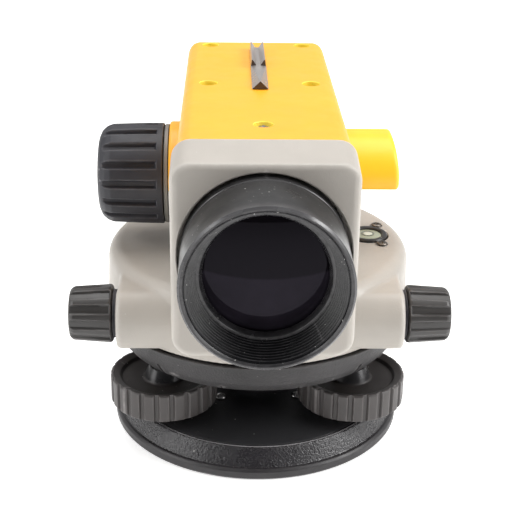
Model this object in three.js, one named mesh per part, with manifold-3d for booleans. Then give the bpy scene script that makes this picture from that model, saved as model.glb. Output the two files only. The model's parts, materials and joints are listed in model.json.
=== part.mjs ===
// Automatic level: a self-levelling surveying telescope on a three-screw base.
// Units are millimetres and +Z is up. The telescope looks along -Y, the eyepiece is at +Y.
// The origin is on the vertical axis, at the bottom of the base plate.

import * as THREE from 'three';
import { ConvexGeometry } from 'three/addons/geometries/ConvexGeometry.js';
import { mergeVertices } from 'three/addons/utils/BufferGeometryUtils.js';
import Module from 'manifold-3d';

const wasm = await Module();
wasm.setup();

// ---------------------------------------------------------------- driving dimensions

const GAP = 0.3; // left between pieces that rest on each other or are fastened together
const FIT = 0.6; // radial clearance of a turning or sliding shaft
const THROUGH = 4; // how far a cutting shape runs past the material it cuts
const SCREW_SHANK = 1.2; // radius of the small screws' shanks
const SCREW_DEPTH = 5;

// Facets round a full turn, from the widest rings to the smallest screws.
const RING_FACETS = 40;
const KNOB_FACETS = 28;
const SHAFT_FACETS = 16;
const SCREW_FACETS = 8;
const ARC_STEPS = 2; // chords in one rounded corner of an outline

// Heights of the main levels above the ground.
const BALL_Z = 10;
const CIRCLE_BOTTOM = 35.3;
const CIRCLE_TOP = 47.5;
const SKIRT_BOTTOM = 48;
const PLATFORM_Z = 72.7;
const OPTICAL_Z = 97.9;
const SEAM_Z = 98.6;
const COVER_TOP = 131.3;

// Base plate and foot screws.
const BASE_RADIUS = 56.5;
const BASE_RIM_HEIGHT = 4.2;
const BASE_EDGE_RADIUS = 50.2;
const BASE_EDGE_HEIGHT = 10.6;
const BASE_FLOOR = 8.8;
const BASE_BOSS_RADIUS = 13.5;
const BASE_BOSS_HEIGHT = 22;
const TRIPOD_THREAD_RADIUS = 7.94;
const TRIPOD_INSERT_RADIUS = 11;
const TRIPOD_INSERT_DEPTH = 15;
const FOOT_CIRCLE_RADIUS = 41.5;
const BALL_RADIUS = 4.6;
const SPINDLE_RADIUS = 4;
const BUSHING_RADIUS = 6;
const FOOT_KNOB_RADIUS = 20.5;
const FOOT_KNOB_BOTTOM = 15.1;
const FOOT_KNOB_TOP = 26.4;
const FOOT_KNOB_HUB_TOP = 29;
const FOOT_KNOB_RIBS = 22;

// Levelling head, graduated circle and vertical axis.
const HEAD_RADIUS = 48.2;
const HEAD_BOTTOM = 36.5;
const HEAD_TOP = 44.5;
const HEAD_BOSS_BOTTOM = 34;
const CIRCLE_INNER_RADIUS = 49;
const CIRCLE_BOTTOM_RADIUS = 52.8;
const CIRCLE_TOP_RADIUS = 58.6;
const AXIS_RADIUS = 9;
const AXIS_TOP = 67;
const SLEEVE_RADIUS = 12.4;
const WHEEL_RADIUS = 32.6;
const WHEEL_HALF_THICKNESS = 3.5;

// Main housing.
const SKIRT_RADIUS = 58;
const PLATFORM_RADIUS = 51.5;
const SKIRT_CAVITY_RADIUS = 50;
const SKIRT_CAVITY_TOP = 68.6;
const BODY_HALF_WIDTH = 30.1;
const BODY_FRONT = -76.65;
const BODY_REAR = 75.5;
const BODY_UNDERSIDE = 61.6;
const COVER_FRONT = -59.3;
const COVER_HALF_WIDTH = 28.2;
const WALL = 3;
const CAVITY_HALF_WIDTH = 25;
const CAVITY_FRONT = -60;
const CAVITY_REAR = 71;
const CAVITY_FLOOR = 78;
const TANGENT_Y = -38;
const TANGENT_Z = 59;
const TANGENT_BOSS = { y: -38.6, z: 58.2, radius: 12.7, bottom: 49.8, top: 70, rear: -14 };
const TANGENT_BOSS_HALF_LENGTH = 51;
const TANGENT_SHAFT_RADIUS = 3;

// Objective.
const FACE_BORE_RADIUS = 28;
const FACE_BORE_DEPTH = 6;
const HOOD_RADIUS = 26.9;
const HOOD_FRONT = -102.4;
const BARREL_RADIUS = 24;
const BARREL_REAR = -61;
const LENS_RADIUS = 20.8;
const LENS_FRONT = -91;

// Focusing.
const FOCUS_Z = 98.9;
const FOCUS_BOSS_RADIUS = 19.4;
const FOCUS_BOSS_OUT = -33.3;
const FOCUS_BORE = 4.2;
const FOCUS_KNOB_RADIUS = 19;
const FOCUS_KNOB_IN = -35.3;
const FOCUS_KNOB_OUT = -59.5;
const FOCUS_KNOB_RIBS = 16;
const PINION_RADIUS = 2.4;
const CARRIAGE_RADIUS = 13;

// Circular bubble and its mirror hood.
const BUBBLE = { x: 42.7, y: 3.6, radius: 7.6, bottom: 66.6, top: 73.6 };
const BUBBLE_SCREW_CIRCLE = 10.4;
const BUBBLE_SCREW_ANGLE = 65;
const HOOD_OUT = 52.3;
const HOOD_ARC = { y: 8.6, z: 97, radius: 15.4 };
const HOOD_BACK = 15;
const HOOD_BOTTOM = 95;
const HOOD_WALL = 2.2;

// Eyepiece.
const EYEPIECE_BORE = 12.5;
const EYEPIECE_TUBE_RADIUS = 9;
const DIOPTER_RADIUS = 14.5;
const EYECUP_END = 104;

// ---------------------------------------------------------------- shape helpers

const turn = (degrees) => THREE.MathUtils.degToRad(degrees);

/** Joins shared corners, drops empty triangles and turns the faces outwards. */
function closed(geometry) {
  const bare = geometry.clone();
  bare.deleteAttribute('normal');
  bare.deleteAttribute('uv');
  const merged = mergeVertices(bare, 1e-4);
  const index = merged.index.array;
  const position = merged.attributes.position;
  const corner = [new THREE.Vector3(), new THREE.Vector3(), new THREE.Vector3()];
  const kept = [];
  let volume = 0;
  for (let i = 0; i < index.length; i += 3) {
    const [a, b, c] = [index[i], index[i + 1], index[i + 2]];
    if (a === b || b === c || c === a) continue;
    kept.push([a, b, c]);
    [a, b, c].forEach((vertex, k) => corner[k].fromBufferAttribute(position, vertex));
    volume += corner[0].dot(corner[1].cross(corner[2]));
  }
  merged.setIndex(kept.flatMap(([a, b, c]) => (volume < 0 ? [a, c, b] : [a, b, c])));
  return merged;
}

/** The solid of a closed geometry, ready to be joined or cut. */
function solid(geometry) {
  const shape = closed(geometry);
  const mesh = new wasm.Mesh({
    numProp: 3,
    vertProperties: Float32Array.from(shape.attributes.position.array),
    triVerts: Uint32Array.from(shape.index.array),
  });
  return new wasm.Manifold(mesh);
}

const join = (...solids) => solids.reduce((sum, next) => sum.add(next));
const cut = (whole, ...tools) => tools.reduce((rest, tool) => rest.subtract(tool), whole);

/** The geometry of a solid. */
function geometryOf(result) {
  const mesh = result.getMesh();
  const geometry = new THREE.BufferGeometry();
  geometry.setAttribute('position', new THREE.BufferAttribute(mesh.vertProperties, mesh.numProp));
  geometry.setIndex(new THREE.BufferAttribute(mesh.triVerts, 1));
  return geometry;
}

const AXIS_TURNS = {
  z: new THREE.Matrix4(),
  y: new THREE.Matrix4().makeRotationX(turn(-90)),
  x: new THREE.Matrix4().makeRotationY(turn(90)),
};

/** A body turned from [radius, distance along the axis] corners. */
function turned(corners, facets, axis = 'z') {
  const profile = [...corners, corners[0]].map(([radius, along]) => new THREE.Vector2(radius, along));
  const geometry = new THREE.LatheGeometry(profile, facets);
  geometry.rotateX(turn(90));
  return geometry.applyMatrix4(AXIS_TURNS[axis]);
}

const rod = (radius, start, end, facets, axis = 'z') =>
  turned([[0, start], [radius, start], [radius, end], [0, end]], facets, axis);

const tube = (inner, outer, start, end, facets, axis = 'z') =>
  turned([[inner, start], [outer, start], [outer, end], [inner, end]], facets, axis);

/** A rod's solid moved off the axis, as bores and bosses are. */
const rodAt = (x, y, z, ...rodArguments) => solid(rod(...rodArguments).translate(x, y, z));

/** An outline with every corner rounded to about the given radius. */
function rounded(corners, radius) {
  const points = corners.map(([u, v]) => new THREE.Vector2(u, v));
  const outline = [];
  points.forEach((corner, i) => {
    const before = points[(i + points.length - 1) % points.length];
    const after = points[(i + 1) % points.length];
    const reachIn = Math.min(radius, corner.distanceTo(before) / 2.1);
    const reachOut = Math.min(radius, corner.distanceTo(after) / 2.1);
    const start = corner.clone().add(before.clone().sub(corner).setLength(reachIn));
    const end = corner.clone().add(after.clone().sub(corner).setLength(reachOut));
    outline.push(...new THREE.QuadraticBezierCurve(start, corner, end).getPoints(ARC_STEPS));
  });
  return outline.map((point) => [point.x, point.y]);
}

/** Points on an arc, in degrees. */
function arc(u, v, radius, from, to, steps) {
  return Array.from({ length: steps + 1 }, (_, i) => {
    const angle = turn(from + ((to - from) * i) / steps);
    return [u + radius * Math.cos(angle), v + radius * Math.sin(angle)];
  });
}

function extruded(outline, depth) {
  const shape = new THREE.Shape(outline.map(([u, v]) => new THREE.Vector2(u, v)));
  return new THREE.ExtrudeGeometry(shape, { depth, bevelEnabled: false });
}

/** An [x, y] outline raised from bottom to top. */
const upright = (outline, bottom, top) => extruded(outline, top - bottom).translate(0, 0, bottom);

/** A [y, z] outline run from left to right along X. */
function crosswise(outline, left, right) {
  const toSideways = new THREE.Matrix4().makeBasis(
    new THREE.Vector3(0, 1, 0), new THREE.Vector3(0, 0, 1), new THREE.Vector3(1, 0, 0));
  return extruded(outline, right - left).applyMatrix4(toSideways).translate(left, 0, 0);
}

/** An [x, z] outline run from front to rear along Y. */
const lengthwise = (outline, front, rear) =>
  extruded(outline, rear - front).rotateX(turn(90)).translate(0, rear, 0);

const rectangle = (left, bottom, right, top) => [[left, bottom], [right, bottom], [right, top], [left, top]];

/** A box between two opposite corners. */
const block = ([x0, y0, z0], [x1, y1, z1]) =>
  new THREE.BoxGeometry(x1 - x0, y1 - y0, z1 - z0).translate((x0 + x1) / 2, (y0 + y1) / 2, (z0 + z1) / 2);

/** The outline of a ribbed grip: wide ribs with narrow V grooves between them. */
function ribbedOutline(radius, ribs, depth, ribShare) {
  const pitch = 360 / ribs;
  const halfRib = (pitch * ribShare) / 2;
  const outline = [];
  for (let i = 0; i < ribs; i += 1) {
    const middle = i * pitch;
    outline.push(...arc(0, 0, radius, middle - halfRib, middle + halfRib, 1));
    const valley = turn(middle + pitch / 2);
    outline.push([(radius - depth) * Math.cos(valley), (radius - depth) * Math.sin(valley)]);
  }
  return outline;
}

/** A screw with a pan head and a cross slot, pointing down from the given seat. */
function headedScrew(headRadius, headHeight, shankRadius, shankLength) {
  const body = solid(turned([
    [0, -shankLength], [shankRadius, -shankLength], [shankRadius, 0], [headRadius, 0],
    [headRadius, headHeight * 0.6], [headRadius * 0.7, headHeight], [0, headHeight],
  ], SCREW_FACETS));
  const slotWidth = headRadius * 0.3;
  const slotLength = headRadius * 1.1;
  const floor = headHeight * 0.4;
  const slots = [[slotLength, slotWidth], [slotWidth, slotLength]].map(([along, across]) =>
    solid(block([-along / 2, -across / 2, floor], [along / 2, across / 2, headHeight + THROUGH])));
  return geometryOf(cut(body, ...slots));
}

// ---------------------------------------------------------------- assembly helpers

const level = new THREE.Group();

/** Adds one named piece with its own finish. */
function piece(name, geometry, finish) {
  const mesh = new THREE.Mesh(closed(geometry), new THREE.MeshStandardMaterial(finish));
  mesh.name = name;
  level.add(mesh);
  return mesh;
}

const GREY_PAINT = { color: 0xaaa39a, roughness: 0.5, metalness: 0.1 };
const YELLOW_PAINT = { color: 0xfcc82c, roughness: 0.4, metalness: 0.05 };
const BLACK_PAINT = { color: 0x2b2b2d, roughness: 0.45, metalness: 0.2 };
const GRAINED_BLACK = { color: 0x35343a, roughness: 0.8, metalness: 0.1 };
const BLACK_RUBBER = { color: 0x2c2c2f, roughness: 0.75, metalness: 0 };
const STEEL = { color: 0xb8b6b4, roughness: 0.3, metalness: 1 };
const BRASS = { color: 0xb08d4a, roughness: 0.35, metalness: 1 };
const GLASS = { color: 0x1c1a22, roughness: 0.05, metalness: 0 };
const CLEAR_GLASS = { color: 0xd8e4d8, roughness: 0.05, metalness: 0 };
const ALUMINIUM = { color: 0xc4c2c0, roughness: 0.35, metalness: 0.9 };

// The three foot screws, with the place of each on the foot circle.
const FEET = [['left', 210], ['right', 330], ['rear', 90]].map(([side, angle]) => ({
  side,
  x: FOOT_CIRCLE_RADIUS * Math.cos(turn(angle)),
  y: FOOT_CIRCLE_RADIUS * Math.sin(turn(angle)),
}));

// ---------------------------------------------------------------- base

const SPRING_SCREW_RADIUS = 22.8;
const SPRING_SCREW_ANGLES = [232, 312, 90];
const SOCKET_RADIUS = BALL_RADIUS + FIT;
const SOCKET_FLOOR = BALL_Z - BALL_RADIUS - GAP;

const springScrewPlaces = () => SPRING_SCREW_ANGLES.map((angle) => [
  SPRING_SCREW_RADIUS * Math.cos(turn(angle)), SPRING_SCREW_RADIUS * Math.sin(turn(angle)),
]);

/** The heavy round plate that stands on the tripod head. */
function basePlate() {
  const body = solid(turned([
    [0, 0], [BASE_RADIUS, 0], [BASE_RADIUS, BASE_RIM_HEIGHT - 0.6], [BASE_RADIUS - 0.6, BASE_RIM_HEIGHT],
    [BASE_EDGE_RADIUS, BASE_EDGE_HEIGHT], [BASE_EDGE_RADIUS - 0.6, BASE_FLOOR],
    [BASE_BOSS_RADIUS, BASE_FLOOR], [BASE_BOSS_RADIUS, BASE_BOSS_HEIGHT], [0, BASE_BOSS_HEIGHT],
  ], RING_FACETS));
  const insertBore = solid(
    rod(TRIPOD_INSERT_RADIUS + GAP, -THROUGH, TRIPOD_INSERT_DEPTH + GAP, SHAFT_FACETS));
  const sockets = FEET.map(({ x, y }) =>
    rodAt(x, y, 0, SOCKET_RADIUS, SOCKET_FLOOR, BASE_EDGE_HEIGHT + THROUGH, SHAFT_FACETS));
  const screwHoles = springScrewPlaces().map(([x, y]) =>
    rodAt(x, y, 0, SCREW_SHANK + GAP, BASE_FLOOR - SCREW_DEPTH, BASE_EDGE_HEIGHT + THROUGH, SCREW_FACETS));
  return geometryOf(cut(body, insertBore, ...sockets, ...screwHoles));
}

const SPRING_PLATE_RADIUS = BASE_EDGE_RADIUS - 1;
const SPRING_PLATE_BOTTOM = BASE_FLOOR + GAP;
const SPRING_PLATE_EDGE_TOP = 10.8;
const SPRING_PLATE_RISE = 2.8; // from its edge to the axis, before it flares up to the boss

/** Height of the spring plate's upper face at a distance from the axis. */
const springPlateTop = (radius) =>
  SPRING_PLATE_EDGE_TOP + (1 - radius / SPRING_PLATE_RADIUS) * SPRING_PLATE_RISE;

/** The sprung disc that holds the foot screws' balls down on the base plate. */
function springPlate() {
  const inner = BASE_BOSS_RADIUS + GAP;
  const flare = 18.5;
  const body = solid(turned([
    [inner, SPRING_PLATE_BOTTOM], [SPRING_PLATE_RADIUS, SPRING_PLATE_BOTTOM],
    [SPRING_PLATE_RADIUS, springPlateTop(SPRING_PLATE_RADIUS)],
    [flare + 1.2, springPlateTop(flare + 1.2)], [flare, springPlateTop(flare) + 1],
    [inner + 1.6, BASE_BOSS_HEIGHT - 1], [inner, BASE_BOSS_HEIGHT - 1],
  ], RING_FACETS));
  const neckHoles = FEET.map(({ x, y }) =>
    rodAt(x, y, 0, SPINDLE_RADIUS + 1.2, 0, BASE_BOSS_HEIGHT, SHAFT_FACETS));
  const ballRooms = FEET.map(({ x, y }) =>
    rodAt(x, y, 0, SOCKET_RADIUS, 0, BALL_Z + BALL_RADIUS * 0.75, SHAFT_FACETS));
  const screwHoles = springScrewPlaces().map(([x, y]) =>
    rodAt(x, y, 0, SCREW_SHANK + GAP, 0, BASE_BOSS_HEIGHT, SCREW_FACETS));
  return geometryOf(cut(body, ...neckHoles, ...ballRooms, ...screwHoles));
}

piece('base_plate', basePlate(), GRAINED_BLACK);
piece('spring_plate', springPlate(), BLACK_PAINT);
piece('tripod_thread_insert',
  tube(TRIPOD_THREAD_RADIUS, TRIPOD_INSERT_RADIUS, GAP, TRIPOD_INSERT_DEPTH, SHAFT_FACETS), BRASS);
springScrewPlaces().forEach(([x, y], i) => {
  const headRadius = 2;
  const seat = springPlateTop(SPRING_SCREW_RADIUS - headRadius) + GAP;
  const shank = seat - SPRING_PLATE_BOTTOM + 3;
  piece(`spring_plate_screw_${i + 1}`, headedScrew(headRadius, 1.2, SCREW_SHANK, shank), STEEL)
    .position.set(x, y, seat);
});

// ---------------------------------------------------------------- foot screws

const BALL_TOP_FLAT = 2.6; // radius of the flat on which a spindle stands

/** The hardened ball in which a foot screw ends. */
function ballFoot() {
  const flat = Math.asin(BALL_TOP_FLAT / BALL_RADIUS);
  const top = THREE.MathUtils.radToDeg(Math.PI / 2 - flat);
  const profile = arc(0, 0, BALL_RADIUS, -90, top, 6);
  return turned([[0, -BALL_RADIUS], ...profile.slice(1), [0, profile.at(-1)[1]]], SHAFT_FACETS);
}

const BALL_FLAT_Z = Math.sqrt(BALL_RADIUS ** 2 - BALL_TOP_FLAT ** 2);
const SPINDLE_BOTTOM = BALL_Z + BALL_FLAT_Z + 0.6;
const SPINDLE_TOP = 43.5;

/** The threaded spindle of a foot screw, waisted above its ball. */
const footSpindle = () => turned([
  [0, SPINDLE_BOTTOM], [BALL_TOP_FLAT, SPINDLE_BOTTOM], [SPINDLE_RADIUS, SPINDLE_BOTTOM + 1.6],
  [SPINDLE_RADIUS, SPINDLE_TOP - 0.8], [SPINDLE_RADIUS - 0.8, SPINDLE_TOP], [0, SPINDLE_TOP],
], SHAFT_FACETS);

/** The ribbed hand knob of a foot screw, dished on top round a raised hub. */
function footKnob() {
  const hubRadius = 7.4;
  const dishRadius = FOOT_KNOB_RADIUS - 3.4;
  const dishFloor = FOOT_KNOB_TOP - 2.4;
  const outline = ribbedOutline(FOOT_KNOB_RADIUS, FOOT_KNOB_RIBS, 1.3, 0.72);
  const body = solid(upright(outline, FOOT_KNOB_BOTTOM, FOOT_KNOB_TOP));
  const dish = solid(turned([
    [hubRadius, dishFloor], [dishRadius - 1.4, dishFloor], [dishRadius, FOOT_KNOB_TOP],
    [dishRadius, FOOT_KNOB_HUB_TOP], [hubRadius, FOOT_KNOB_HUB_TOP],
  ], SHAFT_FACETS));
  const hub = solid(rod(hubRadius - 0.4, dishFloor - 1, FOOT_KNOB_HUB_TOP, SHAFT_FACETS));
  const bore = solid(rod(SPINDLE_RADIUS + GAP, 0, CIRCLE_BOTTOM, SHAFT_FACETS));
  return geometryOf(cut(join(cut(body, dish), hub), bore));
}

FEET.forEach(({ side, x, y }) => {
  piece(`${side}_ball_foot`, ballFoot(), STEEL).position.set(x, y, BALL_Z);
  piece(`${side}_foot_spindle`, footSpindle(), STEEL).position.set(x, y, 0);
  piece(`${side}_foot_knob`, footKnob(), BLACK_RUBBER).position.set(x, y, 0);
  piece(`${side}_foot_bushing`,
    tube(SPINDLE_RADIUS + 0.5, BUSHING_RADIUS, HEAD_BOSS_BOTTOM, HEAD_TOP, SHAFT_FACETS), BRASS)
    .position.set(x, y, 0);
});

// ---------------------------------------------------------------- levelling head and circle

const HEAD_BOSS_RADIUS = 10;
const HEAD_HUB_RADIUS = 18;
const HEAD_HUB_BOTTOM = 29;

/** The upper plate of the levelling base, with a boss for each foot screw. */
function levelingHead() {
  const plate = solid(turned([
    [0, HEAD_HUB_BOTTOM], [HEAD_HUB_RADIUS - 4, HEAD_HUB_BOTTOM], [HEAD_HUB_RADIUS, HEAD_HUB_BOTTOM + 4],
    [HEAD_HUB_RADIUS + 2, HEAD_BOTTOM], [HEAD_RADIUS, HEAD_BOTTOM], [HEAD_RADIUS, HEAD_TOP], [0, HEAD_TOP],
  ], RING_FACETS));
  const withinRing = solid(rod(HEAD_RADIUS, HEAD_BOSS_BOTTOM, HEAD_TOP - 1, RING_FACETS));
  const bosses = FEET.map(({ x, y }) =>
    rodAt(x, y, 0, HEAD_BOSS_RADIUS, HEAD_BOSS_BOTTOM, HEAD_TOP - 1, SHAFT_FACETS).intersect(withinRing));
  const bores = FEET.map(({ x, y }) =>
    rodAt(x, y, 0, BUSHING_RADIUS + GAP, 0, CIRCLE_TOP, SHAFT_FACETS));
  return geometryOf(cut(join(plate, ...bosses), ...bores));
}

const AXIS_FLANGE_RADIUS = 22;
const AXIS_FLANGE_TOP = 49.5;

/** The standing axis on which the instrument turns, with its clutch flange. */
const axisSpindle = () => turned([
  [0, HEAD_TOP + GAP], [AXIS_FLANGE_RADIUS, HEAD_TOP + GAP], [AXIS_FLANGE_RADIUS, AXIS_FLANGE_TOP],
  [AXIS_RADIUS, AXIS_FLANGE_TOP], [AXIS_RADIUS, AXIS_TOP - 1], [AXIS_RADIUS - 1, AXIS_TOP], [0, AXIS_TOP],
], SHAFT_FACETS);

const NOTCH_ANGLES = [49, 131, 229, 311];
const NOTCH_WIDTH = 1;
const NOTCH_HEIGHT = 5;

/** The graduated horizontal circle, bowl-shaped, with narrow notches in its lower edge. */
function horizontalCircle() {
  const body = solid(turned([
    [CIRCLE_INNER_RADIUS, CIRCLE_BOTTOM], [CIRCLE_BOTTOM_RADIUS, CIRCLE_BOTTOM],
    [CIRCLE_BOTTOM_RADIUS + 2.6, CIRCLE_BOTTOM + 3.2], [CIRCLE_TOP_RADIUS - 1.6, CIRCLE_TOP - 5],
    [CIRCLE_TOP_RADIUS, CIRCLE_TOP], [CIRCLE_INNER_RADIUS, CIRCLE_TOP],
  ], RING_FACETS));
  const notches = NOTCH_ANGLES.map((angle) => {
    const slot = block(
      [CIRCLE_BOTTOM_RADIUS - 1.2, -NOTCH_WIDTH / 2, CIRCLE_BOTTOM - THROUGH],
      [CIRCLE_TOP_RADIUS, NOTCH_WIDTH / 2, CIRCLE_BOTTOM + NOTCH_HEIGHT]);
    return solid(slot.rotateZ(turn(angle)));
  });
  return geometryOf(cut(body, ...notches));
}

/** The worm wheel, clutched by friction to the standing axis; its fine teeth are left plain. */
const tangentWheel = () => turned([
  [SLEEVE_RADIUS + FIT, AXIS_FLANGE_TOP + GAP], [AXIS_FLANGE_RADIUS - 1, AXIS_FLANGE_TOP + GAP],
  [AXIS_FLANGE_RADIUS - 1, TANGENT_Z - 1.5], [WHEEL_RADIUS, TANGENT_Z - WHEEL_HALF_THICKNESS],
  [WHEEL_RADIUS, TANGENT_Z + WHEEL_HALF_THICKNESS], [SLEEVE_RADIUS + FIT, TANGENT_Z + WHEEL_HALF_THICKNESS],
], KNOB_FACETS);

piece('leveling_head', levelingHead(), BLACK_PAINT);
piece('axis_spindle', axisSpindle(), STEEL);
piece('horizontal_circle', horizontalCircle(), GRAINED_BLACK);
piece('tangent_wheel', tangentWheel(), BRASS);

// ---------------------------------------------------------------- tangent screw

const WORM_RADIUS = 4.4;
const WORM_HALF_LENGTH = 9;
const TANGENT_KNOB_IN = 52.6;
const TANGENT_KNOB_OUT = 68;
const TANGENT_KNOB_RADIUS = 10.8;
const TANGENT_KNOB_RIBS = 11;

/** The worm on its long shaft, reaching into the knob at each end. */
const tangentShaft = () => turned([
  [0, -TANGENT_KNOB_OUT + 4], [TANGENT_SHAFT_RADIUS, -TANGENT_KNOB_OUT + 4],
  [TANGENT_SHAFT_RADIUS, -WORM_HALF_LENGTH - 2], [WORM_RADIUS, -WORM_HALF_LENGTH],
  [WORM_RADIUS, WORM_HALF_LENGTH], [TANGENT_SHAFT_RADIUS, WORM_HALF_LENGTH + 2],
  [TANGENT_SHAFT_RADIUS, TANGENT_KNOB_OUT - 4], [0, TANGENT_KNOB_OUT - 4],
], SHAFT_FACETS, 'x');

/** A slow-motion knob, grooved and hollow for the shaft. */
function tangentKnob() {
  const outline = ribbedOutline(TANGENT_KNOB_RADIUS, TANGENT_KNOB_RIBS, 1.1, 0.8);
  const body = solid(upright(outline, TANGENT_KNOB_IN, TANGENT_KNOB_OUT));
  const bevel = solid(turned([
    [0, TANGENT_KNOB_IN - 1], [TANGENT_KNOB_RADIUS + 0.1, TANGENT_KNOB_IN - 1],
    [TANGENT_KNOB_RADIUS - 0.9, TANGENT_KNOB_OUT - 2], [TANGENT_KNOB_RADIUS - 2.8, TANGENT_KNOB_OUT],
    [0, TANGENT_KNOB_OUT],
  ], SHAFT_FACETS));
  const bore = solid(rod(TANGENT_SHAFT_RADIUS + GAP, 0, TANGENT_KNOB_OUT - 3.6, SHAFT_FACETS));
  return geometryOf(cut(body.intersect(bevel), bore)).applyMatrix4(AXIS_TURNS.x);
}

const tangentSeal = () => tube(TANGENT_SHAFT_RADIUS + FIT, TANGENT_KNOB_RADIUS - 1.6,
  TANGENT_BOSS_HALF_LENGTH + GAP, TANGENT_KNOB_IN - GAP, SHAFT_FACETS, 'x');

piece('tangent_shaft', tangentShaft(), STEEL).position.set(0, TANGENT_Y, TANGENT_Z);
[['right', 0], ['left', 180]].forEach(([side, angle]) => {
  const knob = piece(`${side}_tangent_knob`, tangentKnob(), BLACK_RUBBER);
  const seal = piece(`${side}_tangent_seal`, tangentSeal(), BLACK_RUBBER);
  [knob, seal].forEach((mesh) => {
    mesh.rotation.z = turn(angle);
    mesh.position.set(0, TANGENT_Y, TANGENT_Z);
  });
});

// ---------------------------------------------------------------- main housing and cover

// Place of each cover screw, and the depth of its seat under the top of the cover.
const COVER_SCREWS = [
  ['front', 0, -42.8, 2.2], ['left_middle', -19.1, 8.9, 5.2], ['right_middle', 19.1, 8.9, 5.2],
  ['left_rear', -19.1, 69.6, 5.2], ['right_rear', 19.1, 69.6, 5.2],
];
const COVER_SCREW_RECESS = 3.3;
const COVER_SCREW_LENGTH = 6;
const COVER_POST_RADIUS = 4.6;
const COVER_POST_BOTTOM = COVER_TOP - 13;
const COVER_WALL = 3.4;

/** The rounded [x, z] section of the telescope body between two heights. */
const bodySection = (halfWidth, bottom, top, radius) =>
  rounded([[-halfWidth, bottom], [halfWidth, bottom], [halfWidth, top], [-halfWidth, top]], radius);

/** The round lower housing over the vertical axis. */
const skirt = () => solid(turned([
  [0, SKIRT_BOTTOM], [SKIRT_RADIUS, SKIRT_BOTTOM], [SKIRT_RADIUS - 1, PLATFORM_Z - 5],
  [PLATFORM_RADIUS + 3.4, PLATFORM_Z - 1.2], [PLATFORM_RADIUS, PLATFORM_Z], [0, PLATFORM_Z],
], RING_FACETS));

/** The flat-topped cross boss that carries the tangent screw, round in front. */
function tangentBoss() {
  const { y, z, radius, bottom, top, rear } = TANGENT_BOSS;
  const angleAt = (height) => 180 - THREE.MathUtils.radToDeg(Math.asin((height - z) / radius));
  const outline = [...arc(y, z, radius, angleAt(bottom), angleAt(top), 7), [rear, top], [rear, bottom]];
  return solid(crosswise(outline, -TANGENT_BOSS_HALF_LENGTH, TANGENT_BOSS_HALF_LENGTH));
}

/** The grey lower body of the telescope, open at the top behind its front block. */
function telescopeBody() {
  const side = [
    [BODY_FRONT, BODY_UNDERSIDE + 3], [BODY_FRONT + 3, BODY_UNDERSIDE], [-50, BODY_UNDERSIDE - 4],
    [50, BODY_UNDERSIDE + 4], [BODY_REAR, PLATFORM_Z + 3], [BODY_REAR, SEAM_Z - GAP / 2],
    [COVER_FRONT - GAP, SEAM_Z - GAP / 2], [COVER_FRONT - GAP, COVER_TOP],
    [BODY_FRONT + 3, COVER_TOP - 2], [BODY_FRONT, COVER_TOP - 5],
  ];
  const run = solid(crosswise(side, -BODY_HALF_WIDTH, BODY_HALF_WIDTH));
  const section = bodySection(BODY_HALF_WIDTH, BODY_UNDERSIDE - 4, COVER_TOP, 6);
  return run.intersect(solid(lengthwise(section, BODY_FRONT - THROUGH, BODY_REAR + THROUGH)));
}

const bubbleScrewPlaces = () => [-BUBBLE_SCREW_ANGLE, BUBBLE_SCREW_ANGLE].map((angle) => [
  BUBBLE.x + BUBBLE_SCREW_CIRCLE * Math.cos(turn(angle)),
  BUBBLE.y + BUBBLE_SCREW_CIRCLE * Math.sin(turn(angle)),
]);

/** Half of the round boss behind the focus knob; the seam parts it. */
function focusBoss(bottom, top) {
  const inner = -BODY_HALF_WIDTH + WALL + 1;
  const round = rodAt(0, 0, FOCUS_Z, FOCUS_BOSS_RADIUS, FOCUS_BOSS_OUT, inner, KNOB_FACETS, 'x');
  return round.intersect(solid(block(
    [FOCUS_BOSS_OUT - 1, -BODY_HALF_WIDTH, bottom], [inner + 1, BODY_HALF_WIDTH, top])));
}

const focusBore = () => rodAt(0, 0, FOCUS_Z,
  FOCUS_BORE, FOCUS_BOSS_OUT - THROUGH, -CAVITY_HALF_WIDTH + THROUGH, SHAFT_FACETS, 'x');

const eyepieceBore = () => rodAt(0, 0, OPTICAL_Z,
  EYEPIECE_BORE, CAVITY_REAR - THROUGH, BODY_REAR + THROUGH, SHAFT_FACETS, 'y');

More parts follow.
